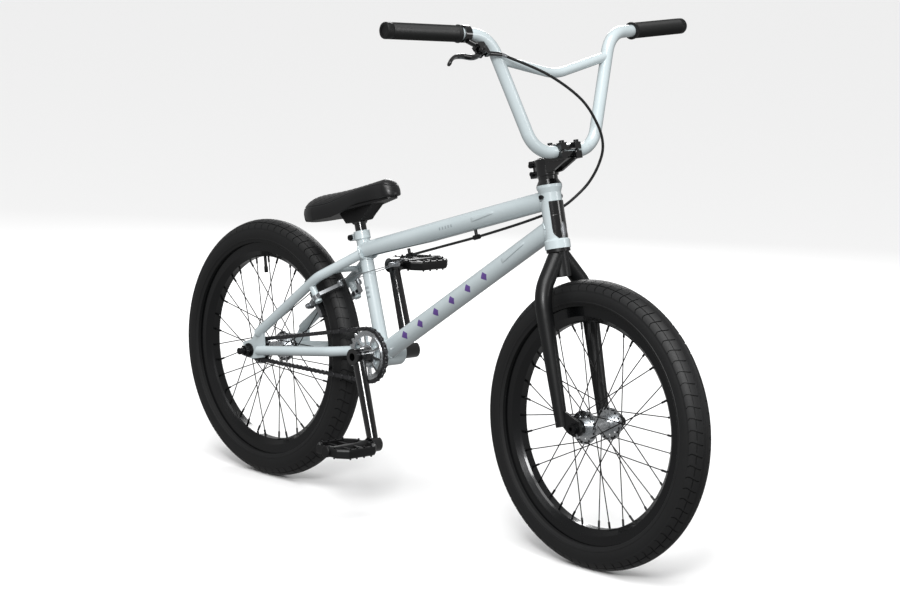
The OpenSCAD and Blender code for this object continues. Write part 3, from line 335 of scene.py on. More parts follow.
@dataclass(frozen=True)
class Finish:
    """One finish: a common material, how its surface was made and what that gives the eye."""

    name: str
    surface: Surface
    low: str
    high: str
    roughness: float
    rough_spread: float = 0.08
    metallic: float = 0.0
    coat: float = 0.0
    ior: float = 1.5
    specular: float = 0.5
    grain_mm: float = 1.2
    relief_mm: float = 0.02
    dust: float = 0.0
    sheen: float = 0.0

    def material(self) -> bpy.types.Material:
        """The material of this finish, made once."""
        found = bpy.data.materials.get(self.name)
        if found:
            return found
        made = bpy.data.materials.new(self.name)
        made.use_nodes = True
        tree = made.node_tree
        tree.nodes.clear()
        where = add_node(tree, "TexCoord", {}, {}).outputs["Object"]
        broad = add_node(tree, "TexNoise", {}, {"Vector": where, "Scale": 14.0, "Detail": 4.0, "Roughness": 0.6})
        fine = add_node(tree, "TexNoise", {}, {"Vector": where, "Scale": 0.9 / (self.grain_mm * MM), "Detail": 3.0})
        tone = add_node(tree, "Mix", {"data_type": "RGBA"}, {0: broad.outputs["Fac"], 6: linear(self.low),
                                                              7: linear(self.high)}).outputs[2]
        if self.dust:
            settled = add_node(tree, "MapRange", {}, {"Value": fine.outputs["Fac"], "From Min": 0.52, "From Max": 0.8,
                                                      "To Min": 0.0, "To Max": self.dust})
            tone = add_node(tree, "Mix", {"data_type": "RGBA"}, {0: settled.outputs[0], 6: tone,
                                                                  7: linear("#8b8780")}).outputs[2]
        rough = add_node(tree, "MapRange", {}, {"Value": fine.outputs["Fac"], "From Min": 0.3, "From Max": 0.7,
                                                "To Min": self.roughness - self.rough_spread / 2,
                                                "To Max": self.roughness + self.rough_spread / 2})
        height = self.relief(tree, where, fine)
        bump = add_node(tree, "Bump", {}, {"Height": height, "Strength": 0.6, "Distance": self.relief_mm * MM})
        shader = add_node(tree, "BsdfPrincipled", {}, {
            "Base Color": tone, "Roughness": rough.outputs[0], "Metallic": self.metallic, "Normal": bump.outputs[0],
            "Coat Weight": self.coat, "Coat Roughness": 0.06, "IOR": self.ior, "Sheen Weight": self.sheen,
            "Specular IOR Level": self.specular})
        add_node(tree, "OutputMaterial", {}, {"Surface": shader.outputs[0]})
        return made

    def relief(self, tree: bpy.types.NodeTree, where: bpy.types.NodeSocket,
               fine: bpy.types.Node) -> bpy.types.NodeSocket:
        """The height that the surface's making leaves on it.

        Args:
            tree: the material's node tree.
            where: Object coordinates.
            fine: the fine noise, at the grain's size.
        Returns:
            The socket that gives the height.
        """
        if self.surface is Surface.MACHINED:
            stretched = add_node(tree, "Mapping", {}, {"Vector": where, "Scale": (1.0, 9.0, 1.0)})
            return add_node(tree, "TexNoise", {}, {"Vector": stretched.outputs[0], "Scale": 160.0,
                                                   "Detail": 2.0}).outputs["Fac"]
        if self.surface is Surface.GRAINED:
            cells = add_node(tree, "TexVoronoi", {"feature": "SMOOTH_F1"}, {"Vector": where,
                                                                            "Scale": 1 / (self.grain_mm * MM)})
            return add_node(tree, "Math", {"operation": "ADD"}, {0: cells.outputs["Distance"],
                                                                 1: fine.outputs["Fac"]}).outputs[0]
        if self.surface is Surface.BRAIDED:
            along = add_node(tree, "TexCoord", {}, {}).outputs["UV"]
            braid = add_node(tree, "TexWave", {"bands_direction": "X"},
                             {"Vector": along, "Scale": 0.3 / (self.grain_mm * MM)})
            return braid.outputs["Fac"]
        return fine.outputs["Fac"]


# Gloss powder coat on steel, sprayed: a faint orange peel under a clear, pale cool grey
FRAME_PAINT = Finish("powder_coat_pale_grey", Surface.SPRAYED, "#bcc8cb", "#c8d2d5", 0.24, coat=0.5, grain_mm=2.5,
                     relief_mm=0.02)
# Satin black electro-coat on the fork: dull, with soft broad highlights
FORK_PAINT = Finish("satin_black_coat", Surface.SPRAYED, "#08090a", "#0e0f10", 0.4, coat=0.05, grain_mm=1.8,
                    relief_mm=0.02, specular=0.4)
# Gloss black coat on forged parts: sharp highlights over a faint peel
GLOSS_BLACK = Finish("gloss_black_coat", Surface.SPRAYED, "#050506", "#0a0a0b", 0.16, coat=1.0, grain_mm=2.0,
                     relief_mm=0.01, specular=0.4)
# Anodised black aluminium rims, drawn and polished: dark gloss with long highlights round the wheel
RIM_BLACK = Finish("anodised_black_rim", Surface.SPRAYED, "#08090a", "#101113", 0.24, metallic=0.5, coat=0.35,
                   relief_mm=0.004)
# Tyre rubber, moulded and a little dusty: matt with a grey bloom on the tread
TYRE_RUBBER = Finish("moulded_tyre_rubber", Surface.MOULDED, "#0c0c0d", "#151617", 0.55, grain_mm=1.0,
                     relief_mm=0.04, dust=0.03, rough_spread=0.15, specular=0.4)
# Soft grip rubber, moulded: matt black, very even
GRIP_RUBBER = Finish("soft_grip_rubber", Surface.MOULDED, "#0c0d0d", "#131414", 0.5, grain_mm=0.7, relief_mm=0.04,
                     specular=0.35)
# Black synthetic leather over foam, embossed: fine pebble grain with a soft gloss
SEAT_COVER = Finish("embossed_seat_cover", Surface.GRAINED, "#0b0b0c", "#121314", 0.36, grain_mm=1.3,
                    relief_mm=0.1, sheen=0.05)
# Bonded polyester thread: slightly lighter than the cover it sews
THREAD = Finish("polyester_thread", Surface.MOULDED, "#2a2b2d", "#38393c", 0.6, grain_mm=0.4, relief_mm=0.03)
# Glass-filled nylon, moulded: matt black with a fine texture
NYLON_BLACK = Finish("moulded_nylon_black", Surface.MOULDED, "#09090a", "#101011", 0.42, grain_mm=0.6,
                     relief_mm=0.04, specular=0.4)
# Aluminium, turned and polished: bright with soft edges to its highlights
POLISHED_ALLOY = Finish("polished_aluminium", Surface.MACHINED, "#c4c7ca", "#dcdfe1", 0.27, metallic=1.0,
                        relief_mm=0.001)
# Forged aluminium, tumbled: a soft satin sheen
SATIN_ALLOY = Finish("satin_aluminium", Surface.MOULDED, "#a0a3a6", "#b8bbbe", 0.36, metallic=1.0, grain_mm=0.8,
                     relief_mm=0.01)
# Hardened steel, oiled and browned: dark, half metallic
CHAIN_STEEL = Finish("oiled_chain_steel", Surface.MACHINED, "#3a3a3c", "#5c5c5e", 0.3, metallic=0.9, relief_mm=0.002)
# Ground bearing steel: bright, fine lines
GROUND_STEEL = Finish("ground_steel", Surface.MACHINED, "#9fa2a4", "#b2b4b6", 0.3, metallic=1.0, relief_mm=0.001)
# Black oxide on steel screws and axles: dark and slightly oily
BLACK_OXIDE = Finish("black_oxide_steel", Surface.MACHINED, "#0c0d0e", "#17181a", 0.34, metallic=0.5, relief_mm=0.002)
# Black enamelled spokes: thin, dark, low gloss
SPOKE_BLACK = Finish("black_spoke_wire", Surface.SPRAYED, "#060607", "#0c0c0d", 0.35, relief_mm=0.005, specular=0.35)
# Extruded cable sheath over a wound wire: black, with a faint rib every turn
CABLE_SHEATH = Finish("wound_cable_sheath", Surface.BRAIDED, "#0f1011", "#191a1b", 0.4, grain_mm=1.6, relief_mm=0.15)
# Purple transfer, printed under the clear coat
PURPLE_MARK = Finish("purple_transfer", Surface.SPRAYED, "#5a3d86", "#674996", 0.3, coat=0.5, grain_mm=1.0,
                     relief_mm=0.01)
# Dull grey transfer, printed
GREY_MARK = Finish("grey_transfer", Surface.SPRAYED, "#8d979b", "#9aa4a8", 0.35, coat=0.4, grain_mm=1.0,
                   relief_mm=0.01)

NODE_FINISHES: dict[str, Finish] = {
    "head_tube": FRAME_PAINT, "top_tube": FRAME_PAINT, "down_tube": FRAME_PAINT, "seat_tube": FRAME_PAINT,
    "bottom_bracket_shell": FRAME_PAINT, "chain_stays": FRAME_PAINT, "seat_stays": FRAME_PAINT,
    "stay_bridge": FRAME_PAINT, "dropouts": FRAME_PAINT, "seat_clamp": FRAME_PAINT, "handlebar": FRAME_PAINT,
    "cable_guides": NYLON_BLACK, "head_badge": GLOSS_BLACK, "tab_bolts": BLACK_OXIDE,
    "headset_bearings": GROUND_STEEL, "crank_bearings": GROUND_STEEL, "seat_clamp_bolt": BLACK_OXIDE,
    "rear_axle": BLACK_OXIDE, "rear_axle_nuts": BLACK_OXIDE, "straddle_cable": GROUND_STEEL,
    "fork_steerer": FORK_PAINT, "fork_legs": FORK_PAINT, "headset_cover": GLOSS_BLACK, "stem_spacer": GLOSS_BLACK,
    "stem_body": GLOSS_BLACK, "stem_cap": GLOSS_BLACK, "stem_bolts": BLACK_OXIDE, "lever_clamp": GLOSS_BLACK,
    "front_axle": BLACK_OXIDE, "front_axle_bolts": BLACK_OXIDE, "front_rim": RIM_BLACK, "rear_rim": RIM_BLACK,
    "front_spokes": SPOKE_BLACK, "rear_spokes": SPOKE_BLACK, "front_hub": POLISHED_ALLOY, "rear_hub": POLISHED_ALLOY,
    "front_hub_bearings": GROUND_STEEL, "rear_hub_bearings": GROUND_STEEL, "driver": CHAIN_STEEL,
    "crank_spindle": GLOSS_BLACK, "right_crank_arm": GLOSS_BLACK, "left_crank_arm": GLOSS_BLACK,
    "sprocket": POLISHED_ALLOY, "pedal_axles": GROUND_STEEL, "right_pedal": NYLON_BLACK, "left_pedal": NYLON_BLACK,
    "seat_post": GLOSS_BLACK, "seat_base": NYLON_BLACK, "seat_bolt": GROUND_STEEL,
    "right_brake_arm": SATIN_ALLOY, "left_brake_arm": SATIN_ALLOY, "brake_yoke": SATIN_ALLOY,
}
BEVELS_MM: dict[str, float] = {
    "stem_bolts": 0.5, "sprocket": 0.3,
    "right_brake_arm": 0.8, "left_brake_arm": 0.8, "dropouts": 0.6, "seat_clamp": 0.7, "lever_clamp": 0.6,
    "rear_axle_nuts": 0.4, "front_axle_bolts": 0.4, "driver": 0.2, "head_badge": 0.3, "seat_clamp_bolt": 0.4,
}


def rounded_copy(name: str, finish: Finish, width_mm: float) -> None:
    """Stands a copy of a CAD node, with its doubles merged and its sharp edges rounded, in the node's place.

    Args:
        name: the CAD node.
        finish: its finish.
        width_mm: width of the bevel over its sharp edges.
    """
    node = frame["nodes"][name]
    body = next(key for key, carrier in frame["bodies"].items() if carrier == node.parent)
    work = bmesh.new()
    work.from_mesh(node.data)
    bmesh.ops.remove_doubles(work, verts=work.verts, dist=1e-6)
    mesh = bpy.data.meshes.new(name + "_rounded")
    work.to_mesh(mesh)
    work.free()
    for layer in [a.name for a in mesh.attributes if a.name in ("custom_normal", "sharp_edge", "sharp_face")]:
        mesh.attributes.remove(mesh.attributes[layer])
    copy = bpy.data.objects.new(name + "_rounded", mesh)
    bpy.context.scene.collection.objects.link(copy)
    mesh.materials.clear()
    mesh.materials.append(finish.material())
    mesh.polygons.foreach_set("material_index", np.zeros(len(mesh.polygons), np.int32))
    mesh.shade_smooth()
    mesh.set_sharp_from_angle(angle=math.radians(35))
    bevel = copy.modifiers.new("edges", "BEVEL")
    bevel.width, bevel.segments, bevel.limit_method, bevel.angle_limit = width_mm * MM, 2, "ANGLE", math.radians(35)
    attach(copy, body)
    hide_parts(name)


def dress_nodes() -> None:
    """Gives every CAD node its finish, with a rounded copy in place of those whose edges are seen."""
    for name, finish in NODE_FINISHES.items():
        node = frame["nodes"][name]
        if name in BEVELS_MM:
            rounded_copy(name, finish, BEVELS_MM[name])
        else:
            for k in range(len(node.data.materials)):
                node.data.materials[k] = finish.material()
        log.info("%s: %s", name, finish.name)


# ---- Wheels ----
@dataclass
class Wheel:
    """One wheel's tyre and valve."""

    name: str
    body: str
    hub: Array
    tyre_slot: str = "tyre_rubber"
    mid_r: float = 227.5
    tube_r: float = 29.5
    wall: float = 3.0
    rim_edge_r: float = 211.3
    lip_y: float = 15.2
    blocks: int = 76
    groove_mm: float = 2.2

    def section(self) -> tuple[Array, Array]:
        """Angles over the tread, and the points (radius, side) of the closed section that follows them."""
        stop = math.degrees(math.acos((self.rim_edge_r - self.mid_r) / self.tube_r))
        half = np.concatenate([[0, 3.3, 3.7, 4.3, 4.7, 7.3, 7.7, 8.3, 8.7, 11.3, 11.7, 12.3, 12.7, 15, 16.6],
                               np.linspace(20, 34, 4), [36.2, 36.8, 39.2, 39.8], np.linspace(44, 58, 4),
                               [62.8, 64.2, 66.5, 69, 71.5], np.linspace(76, 100, 5),
                               [104, 105, 110, 111, stop - 4, stop]])
        over = np.radians(np.concatenate([-half[:0:-1], half]))
        edge = np.array([[self.rim_edge_r, self.lip_y], [self.rim_edge_r - 7, self.lip_y],
                         [self.rim_edge_r - 7, self.lip_y - 4], [self.rim_edge_r + 2, self.lip_y - 3]])
        back = np.radians(np.linspace(stop - 8, 8 - stop, 15))
        inside = np.stack([self.mid_r + (self.tube_r - self.wall) * np.cos(back),
                           (self.tube_r - self.wall) * np.sin(back)], 1)
        return over, np.concatenate([edge, inside, (edge * [1, -1])[::-1]])

    def tread_drop(self, over: Array, part: Array) -> Array:
        """How far the surface lies under the tyre's outside, in millimetres.

        Sipes cross the shoulder between 16 and 63 degrees, a dashed groove runs round through them at 38 degrees, fine
        lines run round the crown, and a raised rib lies above the bead.

        Args:
            over: angles over the tread, from its middle, (rows,).
            part: part of a block at each column, (columns,).
        Returns:
            (columns, rows) depths.
        """
        a = np.abs(np.degrees(over))[None, :]
        p = part[:, None]
        sipe = (p < 0.08) * smoothstep(14.9, 16.7, a) * (1 - smoothstep(62.7, 64.3, a)) * self.groove_mm
        dash = ((a > 36.5) & (a < 39.5)) * (p > 0.2) * self.groove_mm * 0.8
        rib = ((np.abs(a - 4) < 0.5) | (np.abs(a - 8) < 0.5) | (np.abs(a - 12) < 0.5)) * 0.45
        shoulder = smoothstep(64.0, 69.5, a) * 0.9
        bead = ((a > 104.5) & (a < 110.6)) * 0.7
        return np.maximum(sipe, dash) + rib + shoulder - bead

    def tyre(self) -> None:
        """Builds the tyre: the section turned round the hub, its columns leaning along the hooked sipes.

        The two shoulders are half a block apart, so the columns step over as they cross the crown.
        """
        over, rest = self.section()
        parts = np.array([0, 0.07, 0.085, 0.38, 0.69, 0.985])
        part = np.tile(parts, self.blocks)
        turn = (np.repeat(np.arange(self.blocks), len(parts)) + part) / self.blocks
        a = np.degrees(np.abs(over))
        hook = 0.3 * smoothstep(16, 56, a) - 0.14 * smoothstep(56, 63, a)
        stagger = 0.5 * smoothstep(3, -3, np.degrees(over))
        lean = (hook + stagger) * (1 - smoothstep(70, 100, a))
        drop = self.tread_drop(over, part)
        r = self.mid_r + (self.tube_r - drop) * np.cos(over)
        y = (self.tube_r - drop) * np.sin(over)
        angle = TURN * (turn[:, None] + lean[None, :] / self.blocks)
        flat_r, flat_y = (np.broadcast_to(rest[:, k], (len(turn), len(rest))) for k in (0, 1))
        flat_angle = np.broadcast_to(TURN * turn[:, None], flat_r.shape)
        r, y, angle = (np.concatenate(pair, 1) for pair in ((r, flat_r), (y, flat_y), (angle, flat_angle)))
        grid = self.hub + np.stack([r * np.cos(angle), y, r * np.sin(angle)], -1)
        Piece(f"{self.name}_tyre_tread", self.body, TYRE_RUBBER, self.tyre_slot, (f"{self.name}_tyre",),
              smooth_angle=35).add(grid, True, True).build()

    def valve(self, angle: float) -> None:
        """Builds a valve with its cap, standing inwards from the rim."""
        inward = -vec(math.cos(angle), 0, math.sin(angle))
        foot = self.hub - 184.5 * inward
        profile = np.array([[0, 0], [4, 0], [4, 2], [3, 2.5], [3, 22], [3.9, 22.5], [3.9, 33], [3, 34.5], [0, 34.5]])
        Piece(f"{self.name}_valve", self.body, NYLON_BLACK, "rim_black").add(
            turned(profile, foot, inward, 20)).build()

    def build(self) -> None:
        """Builds the wheel's pieces."""
        self.tyre()
        self.valve(math.radians(100))


# ---- Drive ----
@dataclass
class Chain:
    """The roller chain: inner and outer links in turn over the two chain wheels."""

    hub: Array
    crank: Array
    pitch: float = 12.7
    links: int = 70
    big: int = 25
    small: int = 9
    line: float = 40.0
    plate_r: float = 4.2
    waist: float = 3.0
    plate_t: float = 1.1
    inside: float = 3.3

    def pins(self) -> Array:
        """Places of the pins in the chain's plane: round the sprocket, a straight run, round the driver and back."""
        big_r, small_r = (self.pitch / (2 * math.sin(math.pi / n)) for n in (self.big, self.small))
        span = np.linalg.norm((self.crank - self.hub)[[0, 2]])
        tilt = math.asin((big_r - small_r) / span)
        meet = math.pi / 2 + tilt
        wraps = np.array([2 * meet / TURN * self.big, math.sqrt(span**2 - (big_r - small_r) ** 2) / self.pitch,
                          (TURN - 2 * meet) / TURN * self.small])
        wraps = np.append(wraps, wraps[1])
        ends = np.cumsum(wraps)
        s = np.arange(self.links) * ends[-1] / self.links
        a = meet - s * TURN / self.big
        b = -meet - (s - ends[1]) * TURN / self.small
        big_arc = vec(span, 0) + big_r * np.stack([np.cos(a), np.sin(a)], 1)
        small_arc = small_r * np.stack([np.cos(b), np.sin(b)], 1)
        side = np.array([math.cos(meet), math.sin(meet)])
        low, high = side * [1, -1], side
        t1 = ((s - ends[0]) / wraps[1])[:, None]
        t2 = ((s - ends[2]) / wraps[3])[:, None]
        run1 = vec(span, 0) * (1 - t1) + low * (big_r * (1 - t1) + small_r * t1)
        run2 = vec(span, 0) * t2 + high * (small_r * (1 - t2) + big_r * t2)
        which = np.digitize(s, ends[:3])[:, None]
        return np.choose(which, [big_arc, run1, small_arc, run2])

    def outline(self) -> Array:
        """A link plate's outline: two round ends a pitch apart, joined over a waist."""
        t = np.linspace(-80, 80, 7) * math.pi / 180
        right = np.stack([self.pitch / 2 + self.plate_r * np.cos(t), self.plate_r * np.sin(t)], 1)
        return np.concatenate([right, [[0, self.waist]], -right, [[0, -self.waist]]])

    def build(self) -> None:
        """Builds plates, rollers and pins, turned to lie along the chain."""
        pins = self.pins()
        after = np.roll(pins, -1, 0)
        way = unit(after - pins)
        square = np.stack([-way[:, 1], way[:, 0]], 1)
        middle = (pins + after) / 2
        slope = math.atan2(*(self.crank - self.hub)[[2, 0]])
        along, up = vec(math.cos(slope), 0, math.sin(slope)), vec(-math.sin(slope), 0, math.cos(slope))

        def place(flat: Array, at: Array, x: Array, y: Array) -> Array:
            """Puts flat grids (rows, columns, 3) at each place of the chain's plane."""
            p = at[:, None, None] + flat[None, ..., :1] * x[:, None, None] + flat[None, ..., 1:2] * y[:, None, None]
            deep = np.broadcast_to(flat[None, ..., 2:], p.shape[:3] + (1,))
            return self.hub + p[..., :1] * along + p[..., 1:] * up + vec(0, -1, 0) * (self.line + deep)

        plates = Piece("chain_plates", "frame", CHAIN_STEEL, "chain_steel", ("chain",), smooth_angle=30)
        for first, gap in ((0, self.inside / 2), (1, self.inside / 2 + self.plate_t)):
            pick = np.arange(first, self.links, 2)
            for low in (gap, -gap - self.plate_t):
                plates.add(place(plate(self.outline(), low, low + self.plate_t, 0.2), middle[pick], way[pick],
                                 square[pick]))
        plates.build()
        ring = np.arange(12) * TURN / 12
        circle = np.stack([np.cos(ring), np.sin(ring)], 1)
        rollers = Piece("chain_rollers", "frame", CHAIN_STEEL, "chain_steel", smooth_angle=30)
        rollers.add(place(plate(3.85 * circle, -1.6, 1.6), pins, way, square))
        rollers.add(place(plate(1.8 * circle, -3.95, 3.95, 0.2), pins, way, square))
        rollers.build()


# ---- Cockpit ----
@dataclass
class Cockpit:
    """Grips, brake lever and cable, on the handlebar."""

    head_top: Array
    steer_up: Array
    lever_pivot: Array
    lever_axis: Array
    bar_end: Array = field(default_factory=lambda: vec(268.777, 365, 940.269))
    bar_corner: Array = field(default_factory=lambda: vec(293.3625, 152, 931.577))
    grip_length: float = 156.0
    grip_r: float = 14.5
    cap_t: float = 4.0
    rib_pitch: float = 2.6

    def grips(self) -> None:
        """Builds both grips: turned ribs between two plain bands, with a domed end plug."""
        piece = Piece("grip_pair", "steering", GRIP_RUBBER, "grip_rubber", ("grips",), smooth_angle=50)
        plugs = Piece("grip_end_plugs", "steering", NYLON_BLACK, "grip_rubber")
        for side in (1, -1):
            end, corner = (p * [1, side, 1] for p in (self.bar_end, self.bar_corner))
            way = unit(end - corner)
            length = self.grip_length
            s = np.arange(8, length - 14, self.rib_pitch / 4)
            ribs = np.stack([self.grip_r - 0.5 + 0.45 * np.cos(TURN * (s - 8) / self.rib_pitch), s], 1)
            profile = np.concatenate([[[11.25, 0], [15.6, 0.2], [16.0, 1.2], [15.8, 3.4], [14.6, 4.6]], ribs,
                                      [[14.4, length - 13], [14.5, length - 2], [13.6, length], [9, length]]])
            origin = end - (length - self.cap_t) * way
            piece.add(turned(profile, origin, way, 48))
            cap = np.array([[0, length - 1.5], [9.5, length - 1.5], [10.8, length - 0.6], [10.8, length - 3],
                            [0, length - 3]])
            plugs.add(turned(cap, origin, way, 40))
        piece.build()
        plugs.build()

    def lever_point(self, x: Any, y: Any, z: Any) -> Array:
        """Points given from the lever's pivot: x away from the bar, y along it and z along the pivot pin."""
        pin = -self.lever_axis
        out = unit(np.cross(vec(0, 1, 0), pin))
        return self.lever_pivot + np.multiply.outer(x, out) + np.multiply.outer(y, vec(0, 1, 0)) \
            + np.multiply.outer(z, pin)

    def lever(self) -> None:
        """Builds the lever: a flattened oval section carried from its pivot boss along a hooked curve."""
        line = smooth_route(np.array([[-1, 4], [3, -5], [9.5, -16], [12.5, -30], [9.6, -50], [10, -66], [15, -78],
                                      [22, -87], [27, -91.5]], float), 60)
        path = self.lever_point(line[:, 0], line[:, 1], np.zeros(60))
        k = np.linspace(0, 1, 60)
        round_end = np.sqrt(np.clip(1 - np.clip((k - 0.93) / 0.07, 0, 1) ** 2, 0.0, 1))
        thick = (4.6 - 1.4 * smoothstep(0.2, 0.6, k)) * round_end
        wide = (3.4 + 2.0 * smoothstep(0.1, 0.45, k)) * np.maximum(round_end, 0.05)
        blade = Piece("brake_lever_blade", "lever", GLOSS_BLACK, "lever_black", ("brake_lever",), smooth_angle=60)
        blade.add(capped(tube(path, wide, np.maximum(thick, 0.02), -self.lever_axis, 20, 0.8)))
        boss = np.array([[0, -3.5], [5.4, -3.5], [6, -3], [6, 3], [5.4, 3.5], [0, 3.5]])
        blade.add(turned(boss, self.lever_pivot, -self.lever_axis, 32))
        pin = np.array([[0, -12], [2.2, -12], [2.5, -11.6], [2.5, 11.6], [2.2, 12], [0, 12]])
        blade.add(turned(pin, self.lever_pivot, -self.lever_axis, 24))
        blade.build()

    def cable(self) -> None:
        """Builds the brake cable along its route, from the adjuster to the stop under the top tube."""
        start = self.lever_point(9.2, 41.0, 2.0)
        seat_top = joint_point("crank_spin") + 199 * joint_axis("seat_height")
        head = self.head_top - 25.5 * self.steer_up
        way = unit(head - seat_top)
        down = vec(way[2], 0, -way[0])
        under = [seat_top + s * way + 30.5 * down for s in (312, 218, 124)]
        route = np.array([start, [346, -58, 867], [363, 11, 824], [371, 48, 779], [371, 65, 741], [363, 66, 707],
                          [346, 59, 671], [326, 42, 641], [306, 29, 622], [276, 14, 606], [220, 3, 583], *under])
        path = smooth_route(route, 420)
        run = length_along(path)
        grid = tube(path, 2.5, 2.5, vec(0.2, 0.1, 1), 14)
        uv = np.stack(np.broadcast_arrays(run[:, None], np.arange(14)[None] * 1.1), -1)
        piece = Piece("brake_cable_sheath", "", CABLE_SHEATH, "cable_housing", ("brake_cable",))
        obj = piece.add(capped(grid), uv=np.concatenate([uv[:1], uv, uv[-1:]])).build()
        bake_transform(obj, "frame", "steering", start=tuple(vec(215, 0, 580) * MM), end=tuple(vec(352, 0, 800) * MM))
        ferrule = np.array([[0, -1], [3.2, -1], [3.4, 0], [3.4, 9], [2.7, 10], [0, 10]])
        Piece("cable_ferrule", "steering", SATIN_ALLOY, "brake_silver").add(
            turned(ferrule, start, unit(path[8] - path[0]), 24)).build()

    def build(self) -> None:
        """Builds the cockpit's pieces."""
        self.grips()
        self.lever()
        self.cable()


# ---- Stem ----
@dataclass
class Stem:
    """The stem, its cap and the rear pinch, with lugs and pockets; x ahead, y left, z up the steerer from its top."""

    head_top: Array
    steer_up: Array
    reach: float = 49.0
    rise: float = 52.0
    bore: float = 11.2
    half: float = 19.0

    def place(self, x: Array, y: Array, z: Array) -> Array:
        """Points of the row frame for places given on the stem."""
        ahead = vec(self.steer_up[2], 0, -self.steer_up[0])
        return self.head_top + x[..., None] * ahead + y[..., None] * vec(0, 1, 0) + z[..., None] * self.steer_up

    def block(self, piece: Piece, outline: Sequence[Sequence[float]], low: float, high: float) -> None:
        """Adds a plate whose outline is given as (x, z), from y = low to y = high."""
        g = plate(np.array(outline, float), low, high)
        piece.add(self.place(g[..., 0], g[..., 2], g[..., 1]))

    def arch(self, piece: Piece, turn: Sequence[float], depth: float, low: float, high: float, wall: float = 0) -> None:
        """Adds a bridge over the bar: from the bore out to a box, or to a constant wall, along a turn about the bar.

        The box is met at min(half / |cos a|, depth / |sin a|) from the bar's centre line.

        Args:
            piece: the piece it joins.
            turn: first and last angle in degrees.
            depth: height of the box beyond the bar's centre line.
            low: lower y.
            high: upper y.
            wall: constant wall, or 0 for the box.
        """
        corner = math.degrees(math.atan2(depth, self.half))
        inside = [a for a in (corner, 180 - corner, -corner, corner - 180) if min(turn) < a < max(turn)]
        a = np.radians(np.unique(np.concatenate([np.linspace(min(turn), max(turn), 19), inside])))
        box = np.minimum(self.half / np.maximum(np.abs(np.cos(a)), 1e-6), depth / np.maximum(np.abs(np.sin(a)), 1e-6))
        far = self.bore + wall + 0 * a if wall else box
        r = np.stack([self.bore + 0 * a, far, far, self.bore + 0 * a], 1)
        y = np.array([low, low, high, high])[None] + 0 * r
        piece.add(capped(self.place(self.reach + r * np.cos(a)[:, None], y, self.rise + r * np.sin(a)[:, None])))

    def build(self) -> None:
        """Builds the stem's body and its cap."""
        body = Piece("stem_body_forged", "steering", GLOSS_BLACK, "stem_black", ("stem_body",), smooth_angle=35)
        ring = np.array([[14.4, 15.5], [18.8, 15.5], [20, 16.7], [20, 45.3], [18.8, 46.5], [14.4, 46.5]])
        body.add(turned(ring, self.head_top, self.steer_up, 56), wrap_rows=True)
        arm = [[9, 19], [26, 20.5], [66, 37.3], [62, 40], [36, 40], [30, 50], [22, 46.5], [9, 46.5]]
        web = [[12, 24], [26, 25], [60, 38.5], [60, 40], [36, 40], [30, 43], [22, 40], [12, 40]]
        for side in (1, -1):
            self.block(body, arm, *sorted((side * 8.5, side * 15)))
            self.arch(body, (-5, -175), 15, *sorted((side * 10.5, side * 25)))
            for low in (15.5, 34.5):
                lug = [[-31, low + 1.5], [-29.5, low], [-12, low], [-12, low + 12], [-29.5, low + 12],
                       [-31, low + 10.5]]
                self.block(body, lug, *sorted((side * 1.2, side * 13)))
            self.block(body, [[-26, 26], [-12, 26], [-12, 36], [-26, 36]], *sorted((side * 1.2, side * 8.5)))
        self.block(body, web, -9, 9)
        self.arch(body, (-5, -175), 15, -12, 12, 3.6)
        body.build(bevel_mm=0.9)
        cap = Piece("stem_cap_forged", "steering", GLOSS_BLACK, "stem_black", ("stem_cap",), smooth_angle=35)
        self.arch(cap, (5, 175), 14, -24, 24, 2.6)
        for side in (1, -1):
            for turn in ((5, 60), (120, 175)):
                self.arch(cap, turn, 14, *sorted((side * 10.5, side * 25)))
        cap.build(bevel_mm=0.9)


